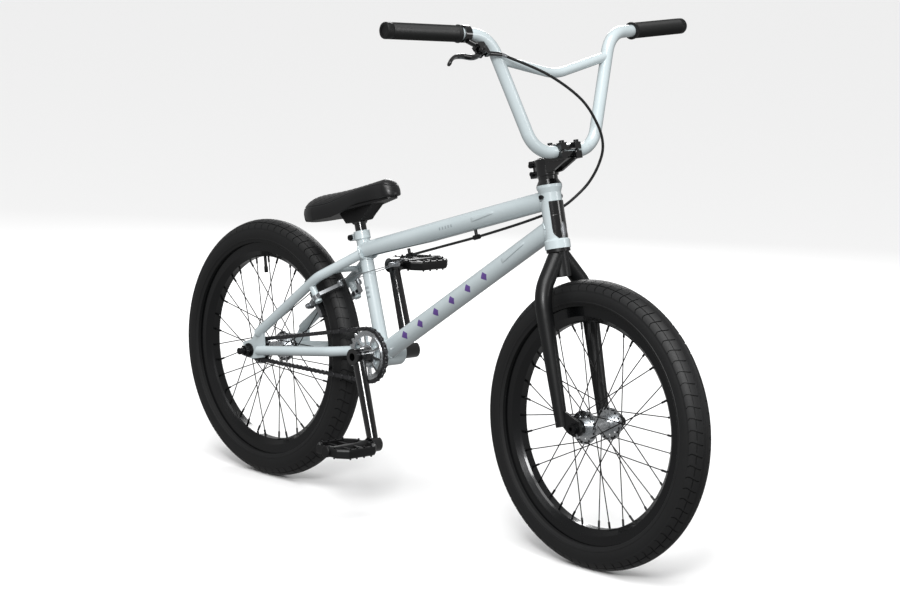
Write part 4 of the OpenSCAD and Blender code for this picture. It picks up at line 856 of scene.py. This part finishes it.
# ---- Pedals ----
@dataclass
class Pedal:
    """One pedal: an open cage round its axle, with cross bars and pins."""

    name: str
    body: str
    axle: Array
    side: int
    inner: float = 98.0
    width: float = 98.0
    half: float = 45.0
    thick: float = 17.0
    wall: float = 7.5

    def cage(self) -> Array:
        """The cage: an eight-cornered ring whose rails stand on edge, thinner in the middle of each long side."""
        y0, y1 = self.inner, self.inner + self.width
        out = np.array([[-self.half, y0 + 17], [-29, y0], [29, y0], [self.half, y0 + 17], [self.half, y1 - 17],
                        [29, y1], [-29, y1], [-self.half, y1 - 17]])
        middle = vec(0, (y0 + y1) / 2)
        pull = 1 - self.wall / np.array([self.half, self.width / 2])
        inn = middle + (out - middle) * pull
        h = self.thick / 2
        corners = [(inn, -h), (inn, h), (out - 0.04 * (out - middle), h), (out, h - 3), (out, 3 - h),
                   (out - 0.04 * (out - middle), -h)]
        return np.stack([np.concatenate([xy, np.full((8, 1), z)], 1) for xy, z in corners], 1)

    def place(self, g: Array) -> Array:
        """Points of the row frame for places given on the pedal."""
        return self.axle + g * vec(1, self.side, 1)

    def build(self) -> None:
        """Builds the cage with its boss, bars and pins."""
        piece = Piece(f"{self.name}_cage", self.body, NYLON_BLACK, "pedal_black", (self.name,), smooth_angle=35)
        piece.add(self.place(self.cage()), wrap_rows=True)
        y0, y1 = self.inner, self.inner + self.width
        boss = np.array([[4.8, y0 + 0.2], [10.5, y0 + 0.2], [11, y0 + 1], [11, y0 + 14], [8.6, y0 + 20],
                         [8.6, y1 - 14], [11, y1 - 9], [11, y1 + 3], [10, y1 + 4], [0, y1 + 4], [0, y1 - 4],
                         [4.8, y1 - 4]])
        piece.add(turned(boss * [1, self.side], self.axle, vec(0, 1, 0), 40), wrap_rows=True)
        for y in (y0 + 36, y0 + 62):
            for low, high in ((-self.half + 3, -7.5), (7.5, self.half - 3)):
                bar = np.array([[low, y - 3.2], [high, y - 3.2], [high, y + 3.2], [low, y + 3.2]])
                piece.add(self.place(plate(bar, -5.5, 5.5)))
        piece.build(bevel_mm=0.7)
        pins = Piece(f"{self.name}_pins", self.body, BLACK_OXIDE, "pedal_black", smooth_angle=40)
        pin = np.array([[0, -11], [1.5, -11], [1.9, -10.6], [1.9, 10.6], [1.5, 11], [0, 11]])
        rail, end = self.half - 4, self.inner + 4
        spots = [(sx * rail, self.inner + t * self.width) for sx in (-1, 1) for t in (0.24, 0.42, 0.6, 0.76)]
        spots += [(x, y) for x in (-18, 18) for y in (end, y1 - 4)]
        for x, y in spots:
            pins.add(turned(pin, self.place(vec(x, y, 0)), vec(0, 0, 1), 12))
        pins.build()


# ---- Frame dressing ----
@dataclass
class Tube:
    """A straight round tube of the frame: its ends and radius."""

    start: Array
    end: Array
    r: float

    def way(self) -> Array:
        """The tube's unit direction."""
        return unit(self.end - self.start)

    def back(self) -> "Tube":
        """The same tube taken from its other end."""
        return Tube(self.end, self.start, self.r)

    def sides(self) -> tuple[Array, Array]:
        """Two unit directions square to the tube: level, and up from it."""
        level = unit(np.cross(self.way(), vec(0, 0, 1))) if abs(self.way()[2]) < 0.99 else vec(0, 1, 0)
        return level, np.cross(level, self.way())


def saddle(branch: Tube, main: Tube, count: int = 72) -> Array:
    """The closed curve where a branch tube meets a main tube.

    Each line of the branch, at angle v round it, is followed from its start to the first place at the main tube's
    radius from the main axis: |p + s w - m|^2 = r^2 with the part along the main axis taken out, a quadratic in s.

    Args:
        branch: the tube that ends on the other.
        main: the tube it ends on.
        count: points on the curve.
    Returns:
        (count, 3) points.
    """
    v = np.arange(count) * TURN / count
    a, b = branch.sides()
    p = branch.start + branch.r * (np.cos(v)[:, None] * a + np.sin(v)[:, None] * b)
    w, m = branch.way(), main.way()
    q = p - main.start
    q = q - (q @ m)[:, None] * m
    wf = w - (w @ m) * m
    qa, qb = wf @ wf, 2 * (q @ wf)
    qc = (q * q).sum(1) - main.r**2
    s = (-qb - np.sqrt(np.maximum(qb * qb - 4 * qa * qc, 0))) / (2 * qa)
    return p + s[:, None] * w


def bead(piece: Piece, curve: Array, axis: Array, r: float = 2.2) -> None:
    """Adds a weld bead along a closed curve: a round section whose size swells and narrows with each ripple."""
    k = np.arange(len(curve))
    size = r * (1 + 0.08 * np.cos(k * TURN / 2))
    piece.add(tube(curve, size, size, axis, 10, closed=True), True, True)


def patch(tube_: Tube, s: Array, v: Array, lift: Array) -> Array:
    """A raised patch on a tube: points at place s along it and angle v round it, lifted from its surface.

    Args:
        tube_: the tube.
        s: (rows, columns) places along it in millimetres.
        v: (rows, columns) angles round it in radians, 0 towards its level side.
        lift: (rows, columns) heights above its surface.
    Returns:
        A grid (rows, columns, 3).
    """
    a, b = tube_.sides()
    ring = np.cos(v)[..., None] * a + np.sin(v)[..., None] * b
    return tube_.start + s[..., None] * tube_.way() + (tube_.r + lift)[..., None] * ring


@dataclass
class FrameDressing:
    """Weld beads, raised gussets, painted marks and badge on the frame."""

    head_top: Array
    steer_up: Array
    crank: Array
    seat_up: Array
    hub: Array

    def tubes(self) -> dict[str, Tube]:
        """The frame's straight tubes."""
        head_foot = self.head_top - 114 * self.steer_up
        seat_joint = self.crank + 199 * self.seat_up
        return {
            "head": Tube(head_foot, self.head_top, 19.5),
            "top": Tube(seat_joint, self.head_top - 25.5 * self.steer_up, 17.5),
            "down": Tube(self.crank, head_foot + 40 * self.steer_up, 17.5),
            "seat": Tube(self.crank, self.crank + 236 * self.seat_up, 13.0),
            "shell": Tube(self.crank - vec(0, 36.5, 0), self.crank + vec(0, 36.5, 0), 25.0),
        }

    def beads(self) -> None:
        """Builds the weld beads where the tubes meet."""
        t = self.tubes()
        piece = Piece("weld_beads", "frame", FRAME_PAINT, "frame_paint", smooth_angle=80)
        joins = [(t["top"], t["head"]), (t["down"], t["head"]), (t["top"].back(), t["seat"]),
                 (t["down"].back(), t["shell"]), (t["seat"].back(), t["shell"])]
        for side in (1, -1):
            bend, end = (self.hub + vec(x, y * side, z) for x, y, z in ((190, 50, 171), (276, 13, 226)))
            joins.append((Tube(bend, end, 9.5), t["seat"]))
            cross = self.crank - self.hub + vec(-20, 17, 5)
            bend, end = self.hub + vec(228, 45.5 * side, 31), self.hub + cross * [1, side, 1]
            joins.append((Tube(bend, end, 9.5), t["shell"]))
        for branch, main in joins:
            bead(piece, saddle(branch, main), main.way())
        piece.build()

    def gussets(self) -> None:
        """Builds two long raised lozenges by the head tube: lift = h (1 - |2c|^4)(1 - |2e|^6) over the patch."""
        piece = Piece("raised_gussets", "frame", FRAME_PAINT, "frame_paint", smooth_angle=60)
        t = self.tubes()
        e = np.linspace(-0.5, 0.5, 40)[:, None]
        c = np.linspace(-0.5, 0.5, 16)[None, :]
        for name, start, length in (("top", 322, 62), ("down", 395, 70)):
            for side in (0.0, math.pi):
                lean = 1 if side == 0.0 else -1
                s = start + (e + 0.5) * length + 0 * c
                v = side + lean * (0.1 + 0.55 * c * (1 - 0.5 * (e + 0.5)) + 0.15 * e)
                lift = 1.8 * (1 - np.abs(2 * c) ** 6) * (1 - np.abs(2 * e) ** 8) - 0.05
                piece.add(patch(t[name], s, v + 0 * s, lift), False, False)
        piece.build()

    def marks(self) -> None:
        """Builds thin painted marks: spaced purple lozenges on the down tube and plain bars elsewhere."""
        t = self.tubes()
        purple = Piece("purple_marks", "frame", PURPLE_MARK, "frame_paint", smooth_angle=60)
        grey = Piece("grey_marks", "frame", GREY_MARK, "frame_paint", smooth_angle=60)
        e = np.linspace(-0.5, 0.5, 15)[:, None]
        c = np.linspace(-0.5, 0.5, 9)[None, :]
        for side in (0.0, math.pi):
            for k in range(6):
                s = 90 + k * 50 + e * 17 + 0 * c
                v = side + 0.15 * (1 if side else -1) + c * (1 - np.abs(2 * e)) * 1.05
                purple.add(patch(t["down"], s, v, 0.12 + 0 * s), False, False)
            for k in range(5):
                s = 236 + k * 8 + e * 3 + 0 * c
                grey.add(patch(t["top"], s, side + c * 0.3 + 0 * s, 0.12 + 0 * s), False, False)
            for k in range(3):
                s = 110 + k * 9 + e * 4.5 + 0 * c
                grey.add(patch(t["seat"], s, side + c * 0.8 + 0 * s, 0.12 + 0 * s), False, False)
        purple.build()
        grey.build()

    def badge(self) -> None:
        """Builds the badge, a tapering plate with a raised rim, and a plain silver leaf on it.

        The plate's half angle grows with height h from its foot as 22 + 38 smoothstep(0, 20 mm, h) degrees.
        """
        t = Tube(self.head_top - 105 * self.steer_up, self.head_top - 30 * self.steer_up, 19.5)
        ahead = vec(self.steer_up[2], 0, -self.steer_up[0])
        level, up = t.sides()
        zero = math.atan2(ahead @ up, ahead @ level)
        e = np.linspace(0, 1, 60)[:, None]
        c = np.linspace(-1, 1, 61)[None, :]
        foot = 7.0 * (1 - c**2) * smoothstep(0.5, 0.0, e)
        half = np.radians(22 + 38 * smoothstep(0, 0.4, e))
        rim = np.maximum(np.abs(c), np.abs(2 * e - 1))
        lift = 1.25 * smoothstep(1.0, 0.97, rim) - 0.45 * smoothstep(0.93, 0.87, rim) + 0 * c
        Piece("head_badge_plate", "frame", GLOSS_BLACK, "badge", ("head_badge",), smooth_angle=60).add(
            patch(t, e * 50 - foot + 1, zero + c * half, lift), False, False).build()
        lobe = np.sin(math.pi * e) ** 0.7
        lift = 0.7 + 1.1 * np.sqrt(np.clip(1 - c**2, 0, 1)) * lobe
        Piece("badge_leaf", "frame", SATIN_ALLOY, "badge", smooth_angle=60).add(
            patch(t, 8 + 32 * e + 0 * c, zero + 0.3 * c * lobe, lift), False, False).build()

    def build(self) -> None:
        """Builds the frame's dressing."""
        self.beads()
        self.gussets()
        self.marks()
        self.badge()


# ---- Seat ----
@dataclass
class Seat:
    """The padded seat: a crowned foam form in a sewn cover over its shell."""

    pivot: Array
    tilt: float = 16.0
    slope: float = 2.4
    tail_x: float = -63.0
    tail_r: float = 63.0
    nose_r: float = 22.0
    nose_x: float = 96.0
    base_z: float = 12.4
    deep: float = 49.0
    hem_at: tuple[float, ...] = (0, 0.1, 0.25, 0.42, 0.5, 0.58, 0.66, 0.75, 0.87, 1.0)
    hem_drop: tuple[float, ...] = (5, 8, 13, 15.5, 12, 4, -3, -5, -1, 2)

    def place(self, x: Array, y: Array, z: Array) -> Array:
        """Points of the seat's own frame, tilted nose up about its pivot, in the row frame."""
        a = math.radians(self.tilt)
        return self.pivot + np.stack([x * math.cos(a) - z * math.sin(a), y, x * math.sin(a) + z * math.cos(a)], -1)

    def outline(self, v: Array) -> tuple[Array, Array, Array]:
        """The plan's outline at angles v and, for each of its points, the nearest place on the middle line.

        A wide tail circle and a narrow nose circle are joined by flanks that curve in between them.

        Args:
            v: angles round the plan, 0 at the nose.
        Returns:
            x along the seat, y across it, and the x of the nearest place on the middle line.
        """
        length = self.nose_x + self.nose_r - self.tail_x + self.tail_r
        x = self.nose_x + self.nose_r - length * (0.5 - 0.5 * np.cos(v))
        u = np.clip((x - self.tail_x + self.tail_r) / length, 0, 1)
        tail = np.sqrt(np.clip(self.tail_r**2 - np.minimum(x - self.tail_x, 0) ** 2, 0, None))
        nose = np.sqrt(np.clip(self.nose_r**2 - np.maximum(x - self.nose_x, 0) ** 2, 0, None))
        mix = smoothstep(0.22, 0.86, u)
        flank = self.tail_r * (1 - mix) + self.nose_r * mix
        half = np.where(x < self.tail_x, tail, np.where(x > self.nose_x, nose, flank))
        return x, np.sign(np.sin(v)) * half, np.clip(x, self.tail_x, self.nose_x)

    def form(self, q: Array, v: Array) -> Array:
        """The smooth form at q, from 0 under its middle over its side to 1 at the middle of its top, and angle v.

        Up to q = 0.25 the underside runs out to the edge, and from there the side turns over to the top as a
        superellipse: spread = cos(e)^0.85 and rise = 0.3 + 0.7 sin(e)^0.9, with e from 0 to a quarter turn. The top
        falls off along quarter circles at the tail and at the nose.

        Args:
            q: places over the section.
            v: angles round the plan.
        Returns:
            Points of the row frame.
        """
        x, y, middle = self.outline(v)
        e = np.clip((q - 0.3) / 0.7, 0, 1) * math.pi / 2
        under = np.clip(q / 0.25, 0, 1)
        spread = np.where(q < 0.3, np.interp(q, [0, 0.15, 0.2, 0.25, 0.3], [0, 0.87, 0.95, 0.99, 1.0]),
                          np.clip(np.cos(e), 0, 1) ** 0.85)
        rise = np.where(q < 0.3, np.interp(q, [0, 0.15, 0.2, 0.25, 0.3], [0.03, 0.0, 0.03, 0.12, 0.3]),
                        0.3 + 0.7 * np.sin(e) ** 0.9)
        px, py = middle + (x - middle) * spread, y * spread
        u = (px - self.tail_x + self.tail_r) / (self.nose_x + self.nose_r - self.tail_x + self.tail_r)
        shell = self.base_z + 4.3 + (px + 126) * math.tan(math.radians(self.slope))
        hang = smoothstep(0.5, 0.95, under) * np.interp(u, self.hem_at, self.hem_drop)
        tail, nose = np.clip((0.12 - u) / 0.13, 0, 1), np.clip((u - 0.89) / 0.115, 0, 1)
        crown = self.base_z + self.deep - 3.5 * np.sin(math.pi * np.clip(u, 0, 1)) ** 2 \
            - 16 * (1 - np.sqrt(1 - tail**2)) - 22 * (1 - np.sqrt(1 - nose**2))
        low = shell - hang
        return self.place(px, py, low + (crown - low) * rise)

    def seam(self, v: Array) -> Array:
        """Place q of the side seam at each angle: low at the tail, sweeping up to the edge of the top at the nose."""
        u = 0.5 + 0.5 * np.cos(v)
        return 0.47 + 0.16 * smoothstep(0.35, 0.7, u) - 0.05 * smoothstep(0.7, 1.0, u)

    def cover(self) -> Array:
        """The sewn cover: the form pulled in along its seam and along the diamond quilting of its top panel.

        The pull is 1.3 exp(-((q - seam) / 0.012)^2), and over the top 0.5 exp(-(d / 1.3)^2), with d the distance in
        millimetres to the nearest quilting line.
        """
        q = np.concatenate([np.linspace(0, 0.3, 16, endpoint=False), np.linspace(0.3, 1, 110)])[:, None]
        v = np.arange(420)[None] * TURN / 420
        form = self.form(q + 0 * v, v + 0 * q)
        out = unit(np.cross(np.roll(form, -1, 1) - np.roll(form, 1, 1), np.gradient(form, axis=0)) + 1e-12)
        middle = form.mean((0, 1))
        out *= np.sign(((form - middle) * out).sum(-1, keepdims=True))
        seam = self.seam(v)
        pull = 1.3 * np.exp(-((q - seam) / 0.012) ** 2)
        x, y = form[..., 0], form[..., 1]
        lines = [np.abs((x + s * 1.3 * y) / 15 - np.round((x + s * 1.3 * y) / 15)) * 15 / 1.64 for s in (1, -1)]
        part = 0.5 + 0.5 * np.cos(v)
        panel = smoothstep(0.06, 0.1, q - seam) * smoothstep(0.06, 0.14, part) * smoothstep(0.84, 0.74, part)
        pull = pull + 0.5 * panel * np.exp(-(np.minimum(*lines) / 1.3) ** 2)
        return form - pull[..., None] * out

    def stitches(self) -> Array:
        """Short bowed stitches, 4.2 mm apart, on both sides of the seam."""
        v = np.arange(721) * TURN / 720
        rows = []
        for off in (0.022, -0.022):
            line = self.form(self.seam(v) + off, v)
            run = length_along(line)
            place = np.arange(int(run[-1] / 4.2)) * 4.2
            ends = [np.stack([np.interp(place + d, run, line[:, k]) for k in range(3)], 1) for d in (0, 2.6)]
            t = np.linspace(0, 1, 5)[None, :, None]
            path = ends[0][:, None] * (1 - t) + ends[1][:, None] * t
            way = unit(ends[1] - ends[0])
            side = unit(np.cross(way, vec(0.02, 0, 1)))
            up = np.cross(way, side)
            turn = np.arange(6) * TURN / 6
            ring = np.cos(turn)[None, None, :, None] * side[:, None, None] \
                + np.sin(turn)[None, None, :, None] * up[:, None, None]
            size = 0.42 * np.sqrt(np.clip(1 - (2 * t - 1) ** 2, 0.02, 1))
            rows.append(path[:, :, None] + size[..., None] * ring)
        return np.concatenate(rows)

    def build(self) -> None:
        """Builds the cover and its stitches."""
        obj = Piece("seat_cover_form", "seat", SEAT_COVER, "seat_cover", ("seat_padding",), smooth_angle=80).add(
            self.cover()).build()
        Piece("seat_stitches", "seat", THREAD, "seat_cover").add(self.stitches()).build()


# ---- Stage ----
@dataclass
class Studio:
    """The floor, the soft lights and the camera."""

    eye: Array = field(default_factory=lambda: vec(3567.3, -3305.4, 1193.3))
    yaw: float = 136.68
    pitch: float = 9.06
    roll: float = 2.14
    lens: float = 105.46

    def floor(self) -> None:
        """Lays a plain pale floor."""
        mesh = bpy.data.meshes.new("floor")
        mesh.from_pydata([(-30, -30, 0), (30, -30, 0), (30, 30, 0), (-30, 30, 0)], [], [(0, 1, 2, 3)])
        obj = bpy.data.objects.new("floor", mesh)
        bpy.context.scene.collection.objects.link(obj)
        made = bpy.data.materials.new("pale_floor")
        made.use_nodes = True
        shader = made.node_tree.nodes["Principled BSDF"]
        shader.inputs["Base Color"].default_value = linear("#f4f4f4")
        shader.inputs["Roughness"].default_value = 0.9
        mesh.materials.append(made)
        obj.visible_diffuse = obj.visible_glossy = False

    def light(self, name: str, place: Sequence[float], aim: Sequence[float], size: float, watts: float) -> None:
        """Hangs one square soft light, in metres.

        Args:
            name: its name.
            place: where it hangs.
            aim: the point it faces.
            size: length of its side.
            watts: its power.
        """
        data = bpy.data.lights.new(name, "AREA")
        data.size, data.energy = size, watts
        obj = bpy.data.objects.new(name, data)
        bpy.context.scene.collection.objects.link(obj)
        back = unit(np.array(place, float) - np.array(aim, float))
        right = unit(np.cross(vec(0, 0, 1) if abs(back[2]) < 0.99 else vec(0, 1, 0), back))
        matrix = Matrix.Identity(4)
        for k, column in enumerate((right, np.cross(back, right), back, np.array(place, float))):
            for row in range(3):
                matrix[row][k] = column[row]
        obj.matrix_world = matrix

    def sky(self, toward: Sequence[float], spread: float, strength: float) -> None:
        """Hangs a wide soft light far above, as from a white ceiling.

        Args:
            toward: direction from the floor to the light.
            spread: angle that the light spans, in degrees.
            strength: its strength.
        """
        data = bpy.data.lights.new("ceiling", "SUN")
        data.angle, data.energy = math.radians(spread), strength
        obj = bpy.data.objects.new("ceiling", data)
        bpy.context.scene.collection.objects.link(obj)
        obj.rotation_euler = Vector(toward).to_track_quat("Z", "Y").to_euler()

    def camera(self) -> None:
        """Sets the camera: right = ahead x up, then both turned by the roll."""
        y, p, r = (math.radians(a) for a in (self.yaw, self.pitch, self.roll))
        ahead = vec(math.cos(y) * math.cos(p), math.sin(y) * math.cos(p), -math.sin(p))
        right = unit(np.cross(ahead, vec(0, 0, 1)))
        up = np.cross(right, ahead)
        right, up = right * math.cos(r) + up * math.sin(r), up * math.cos(r) - right * math.sin(r)
        data = bpy.data.cameras.new("camera")
        data.sensor_width, data.lens, data.clip_end = 36.0, self.lens, 200.0
        obj = bpy.data.objects.new("camera", data)
        bpy.context.scene.collection.objects.link(obj)
        matrix = Matrix.Identity(4)
        for k, column in enumerate((right, up, -ahead, self.eye * MM)):
            for row in range(3):
                matrix[row][k] = column[row]
        obj.matrix_world = matrix
        bpy.context.scene.camera = obj

    def build(self) -> None:
        """Builds the stage."""
        self.camera()
        self.floor()
        world = bpy.data.worlds.new("studio")
        bpy.context.scene.world = world
        world.use_nodes = True
        world.node_tree.nodes["Background"].inputs["Color"].default_value = (1, 1, 1, 1)
        world.node_tree.nodes["Background"].inputs["Strength"].default_value = 0.3
        bpy.context.scene.view_settings.view_transform = "Standard"
        self.sky((0.25, -0.35, 1.0), 45.0, 2.35)
        self.light("near_side", (2.2, -2.4, 2.2), (0, 0, 0.45), 0.9, 85)
        self.light("far_side", (-2.2, 2.4, 2.0), (0, 0, 0.5), 1.2, 45)
        self.light("front", (3.2, 1.4, 1.3), (0.3, 0, 0.4), 0.8, 10)


def main() -> None:
    """Builds every group in order."""
    logging.basicConfig(level=logging.INFO, format="%(message)s")
    head_top, steer_up = joint_point("steer"), joint_axis("steer")
    front, rear, crank = (joint_point(n) for n in ("front_wheel_spin", "rear_wheel_spin", "crank_spin"))
    Studio().build()
    dress_nodes()
    Wheel("front", "front_wheel", front).build()
    Wheel("rear", "rear_wheel", rear).build()
    Chain(rear, crank).build()
    Cockpit(head_top, steer_up, joint_point("lever_squeeze"), joint_axis("lever_squeeze")).build()
    Stem(head_top, steer_up).build()
    for side, name in ((1, "left_pedal"), (-1, "right_pedal")):
        Pedal(name, name, joint_point(f"{name}_spin"), side).build()
    FrameDressing(head_top, steer_up, crank, joint_axis("seat_height"), rear).build()
    Seat(joint_point("seat_tilt")).build()
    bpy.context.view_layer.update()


if __name__ == "__main__":
    main()
